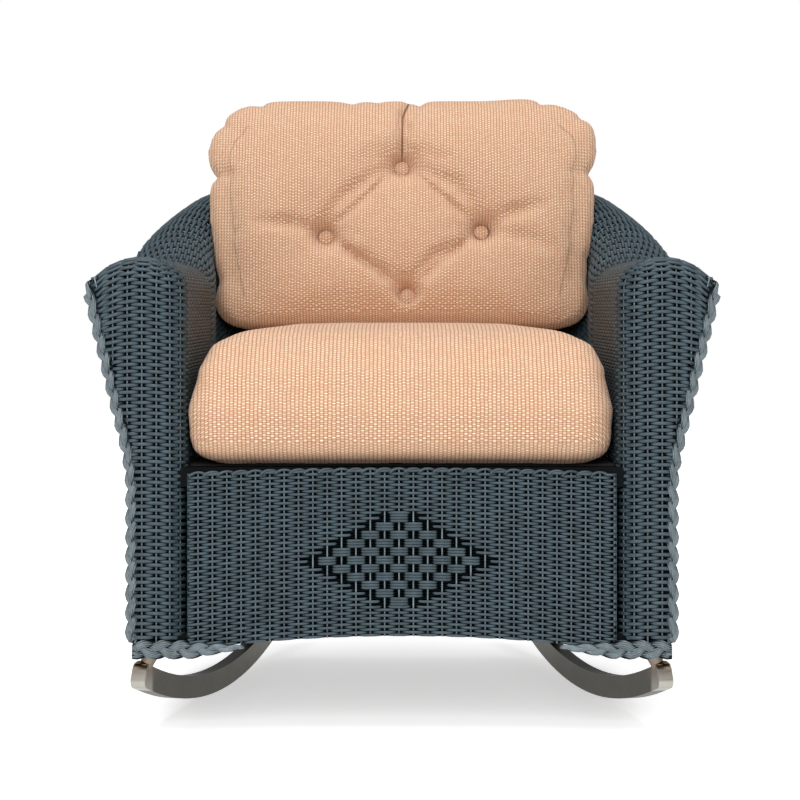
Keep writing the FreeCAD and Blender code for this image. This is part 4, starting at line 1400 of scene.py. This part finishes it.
class ROCKER_OT_back(bpy.types.Operator):
    """Weaves the inner side and the rolled rim of the back"""
    bl_idname = "rocker.back"
    bl_label = "Back"

    def execute(self, context):
        look = settings("rocker_weave")
        rows = back_inner_rows(look)
        profiles = [inner_profile(Stop(count)) for count in range(ARM_LAST, 2 * MIDDLE - ARM_LAST + 1)]
        stakes = [[spot for spot, _ in profile] for profile in profiles[1:-1]]
        lining = [inset(profile) for profile in profiles]
        woven_piece("back_inner_strands", "back_weave_inner", look.strand_radius, rows, stakes, [lining])
        return {"FINISHED"}


class ROCKER_OT_skirt(bpy.types.Operator):
    """Weaves the front skirt with its diamond and scalloped top"""
    bl_idname = "rocker.skirt"
    bl_label = "Skirt"

    def execute(self, context):
        look = settings("rocker_weave")
        forms = (*skirt_weave(look), skirt_shade_sheets(), skirt_border(look))
        woven_piece("skirt_strands", "front_skirt", look.skirt_strand_radius, *forms)
        return {"FINISHED"}


class ROCKER_OT_plaits(bpy.types.Operator):
    """Plaits the edging down the arm fronts, round the rim and at the feet of the arms"""
    bl_idname = "rocker.plaits"
    bl_label = "Plaits"

    def execute(self, context):
        finish = strand_finish("plait", tuple(settings("rocker_weave").plait_colour), 0.36)
        rim_start = ARM_FIRST - (FRONT_ROUND - RIM_PLAIT_BACK) / ARM_STAKE_PITCH
        runs = {
            "arm_plait_right": ("arm_braid_right", plait_paths(edge_route())),
            "arm_rim_plait_right": ("arm_rim_braid_right", plait_paths(rim_route(rim_start, ARM_LAST))),
            "rim_plait": ("rim_braid", plait_paths(rim_route(ARM_LAST, 2 * MIDDLE - ARM_LAST))),
            "hem_plait_right": ("hem_braid_right", plait_paths(hem_route())),
        }
        for name, (node, paths) in list(runs.items()):
            if name.endswith("_right"):
                runs[name.replace("right", "left")] = (node.replace("right", "left"), flipped(paths))
        for name, (node, paths) in runs.items():
            piece_of(name, [tube_mesh("cords", paths, CORD)], [finish], [node])
        return {"FINISHED"}


class ROCKER_OT_metalwork(bpy.types.Operator):
    """Finishes the runners, stubs, welds and the hidden frame and straps"""
    bl_idname = "rocker.metalwork"
    bl_label = "Metalwork"

    def execute(self, context):
        bead = plain_finish("weld", (0.30, 0.20, 0.11), 0.35, Metallic=1.0)
        finishes = {
            "runner": brushed_finish(),
            "frame": plain_finish("dark_coat", (0.004, 0.005, 0.006), 0.85, Specular_IOR_Level=0.1),
            "strap": plain_finish("webbing", (0.015, 0.015, 0.016), 0.9),
            "twine": plain_finish("twine", (0.62, 0.52, 0.40), 0.8),
            "fill": plain_finish("padding", (0.82, 0.80, 0.74), 0.95),
        }
        for entry in frame["record"]["subparts"]:
            finish = bead if entry["node"].startswith("weld_beads") else finishes.get(entry["material_slot"])
            if finish:
                dress(entry["node"], finish)
        return {"FINISHED"}


class ROCKER_OT_cushions(bpy.types.Operator):
    """Makes the seat cushion and the tufted back cushion"""
    bl_idname = "rocker.cushions"
    bl_label = "Cushions"

    def execute(self, context):
        wide = settings("rocker_cushions").stripe_pitch
        narrow = wide * BACK_STRIPE_SHARE
        seat = swollen("seat_cushion", SEAT_MESH, SEAT_SWELL, [])
        shape_seat(seat)
        back = swollen("back_cushion", BACK_MESH, BACK_SWELL, button_places())
        shape_back(back)
        for piece, name, pitch in ((seat, "seat_fabric", wide), (back, "back_fabric", narrow)):
            finish_cushion(piece, fabric_finish(name, pitch))
            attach(piece, piece.name)
            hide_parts(piece.name + "_cover", piece.name + "_fill")
        buttons = fabric_finish("button_fabric", narrow, False)
        for node in ("tuft_buttons_front", "tuft_buttons_rear"):
            dress(node, buttons)
        return {"FINISHED"}


class ROCKER_OT_stage(bpy.types.Operator):
    """Sets the floor, the lamps and the camera"""
    bl_idname = "rocker.stage"
    bl_label = "Stage"

    def execute(self, context):
        look = settings("rocker_stage")
        scene = context.scene
        form = bmesh.new()
        bmesh.ops.create_grid(form, x_segments=1, y_segments=1, size=FLOOR_HALF)
        floor = mesh_of("floor", form)
        finish = Finish("pale_floor")
        path = finish.tree.nodes.new("ShaderNodeLightPath")
        rays = ("Is Camera Ray", "Is Glossy Ray", "Is Transmission Ray")
        seen = [Sock(finish, path.outputs[name]) for name in rays]
        glow = (seen[0] + seen[1] + seen[2]).maths("MINIMUM", 1.0) * look.floor_glow
        finish.set(Base_Color=(0.9, 0.9, 0.9), Roughness=0.9)
        finish.set(Emission_Color=(1.0, 1.0, 1.0), Emission_Strength=glow)
        floor.materials.append(finish.material)
        link("floor", floor)

        world = bpy.data.worlds.new("pale_room")
        scene.world = world
        world.use_nodes = True
        nodes, links = world.node_tree.nodes, world.node_tree.links
        path = nodes.new("ShaderNodeLightPath")
        choose = nodes.new("ShaderNodeMixShader")
        links.new(path.outputs["Is Camera Ray"], choose.inputs["Fac"])
        shades = ((nodes["Background"], look.world_strength), (nodes.new("ShaderNodeBackground"), 1.0))
        for slot, (shader, strength) in enumerate(shades, 1):
            shader.inputs["Color"].default_value = (1, 1, 1, 1)
            shader.inputs["Strength"].default_value = strength
            links.new(shader.outputs[0], choose.inputs[slot])
        links.new(choose.outputs[0], nodes["World Output"].inputs["Surface"])

        sun = bpy.data.lights.new("overhead", "SUN")
        sun.energy = look.sky_power
        sun.angle = math.radians(50)
        link("overhead", sun).rotation_euler = (math.radians(12), 0, 0)

        front = bpy.data.lights.new("front", "AREA")
        front.shape = "SQUARE"
        front.size = 3.0
        front.energy = look.front_power
        holder = link("front", front)
        holder.location = FRONT_LAMP
        holder.rotation_euler = (LAMP_AIM - FRONT_LAMP).to_track_quat("-Z", "Y").to_euler()

        camera = bpy.data.cameras.new("camera")
        camera.lens = look.lens
        camera.sensor_width = 36.0
        camera.clip_start = 0.05
        camera.shift_x = (PICTURE / 2 - CHAIR_MIDDLE) / PICTURE
        camera.shift_y = (HORIZON - PICTURE / 2) / PICTURE
        holder = link("camera", camera)
        holder.location = (0, FRONT_Y - look.camera_distance, look.camera_height)
        holder.rotation_euler = (math.radians(90.0), 0, 0)
        scene.camera = holder
        scene.view_settings.view_transform = "Standard"
        return {"FINISHED"}


class ROCKER_PT_panel(bpy.types.Panel):
    bl_idname = "ROCKER_PT_panel"
    bl_label = "Woven Rocking Chair"
    bl_space_type = "VIEW_3D"
    bl_region_type = "UI"
    bl_category = "Rocker"

    def draw(self, context):
        for operator in OPERATORS:
            self.layout.operator(operator.bl_idname)
        for group in ("rocker_weave", "rocker_cushions", "rocker_stage"):
            values = settings(group)
            for name in values.bl_rna.properties.keys():
                if name not in ("rna_type", "name"):
                    self.layout.prop(values, name)


OPERATORS = (
    ROCKER_OT_arms,
    ROCKER_OT_outer_sides,
    ROCKER_OT_back,
    ROCKER_OT_skirt,
    ROCKER_OT_plaits,
    ROCKER_OT_metalwork,
    ROCKER_OT_cushions,
    ROCKER_OT_stage,
)
GROUPS = {"rocker_weave": WeaveSettings, "rocker_cushions": CushionSettings, "rocker_stage": StageSettings}


def register():
    for kind in (*GROUPS.values(), *OPERATORS, ROCKER_PT_panel):
        bpy.utils.register_class(kind)
    for name, group in GROUPS.items():
        setattr(bpy.types.Scene, name, bpy.props.PointerProperty(type=group))


def unregister():
    for name in GROUPS:
        delattr(bpy.types.Scene, name)
    for kind in (ROCKER_PT_panel, *reversed(OPERATORS), *GROUPS.values()):
        bpy.utils.unregister_class(kind)


def main():
    register()
    for operator in OPERATORS:
        group, action = operator.bl_idname.split(".")
        getattr(getattr(bpy.ops, group), action)()


if __name__ == "__main__":
    main()
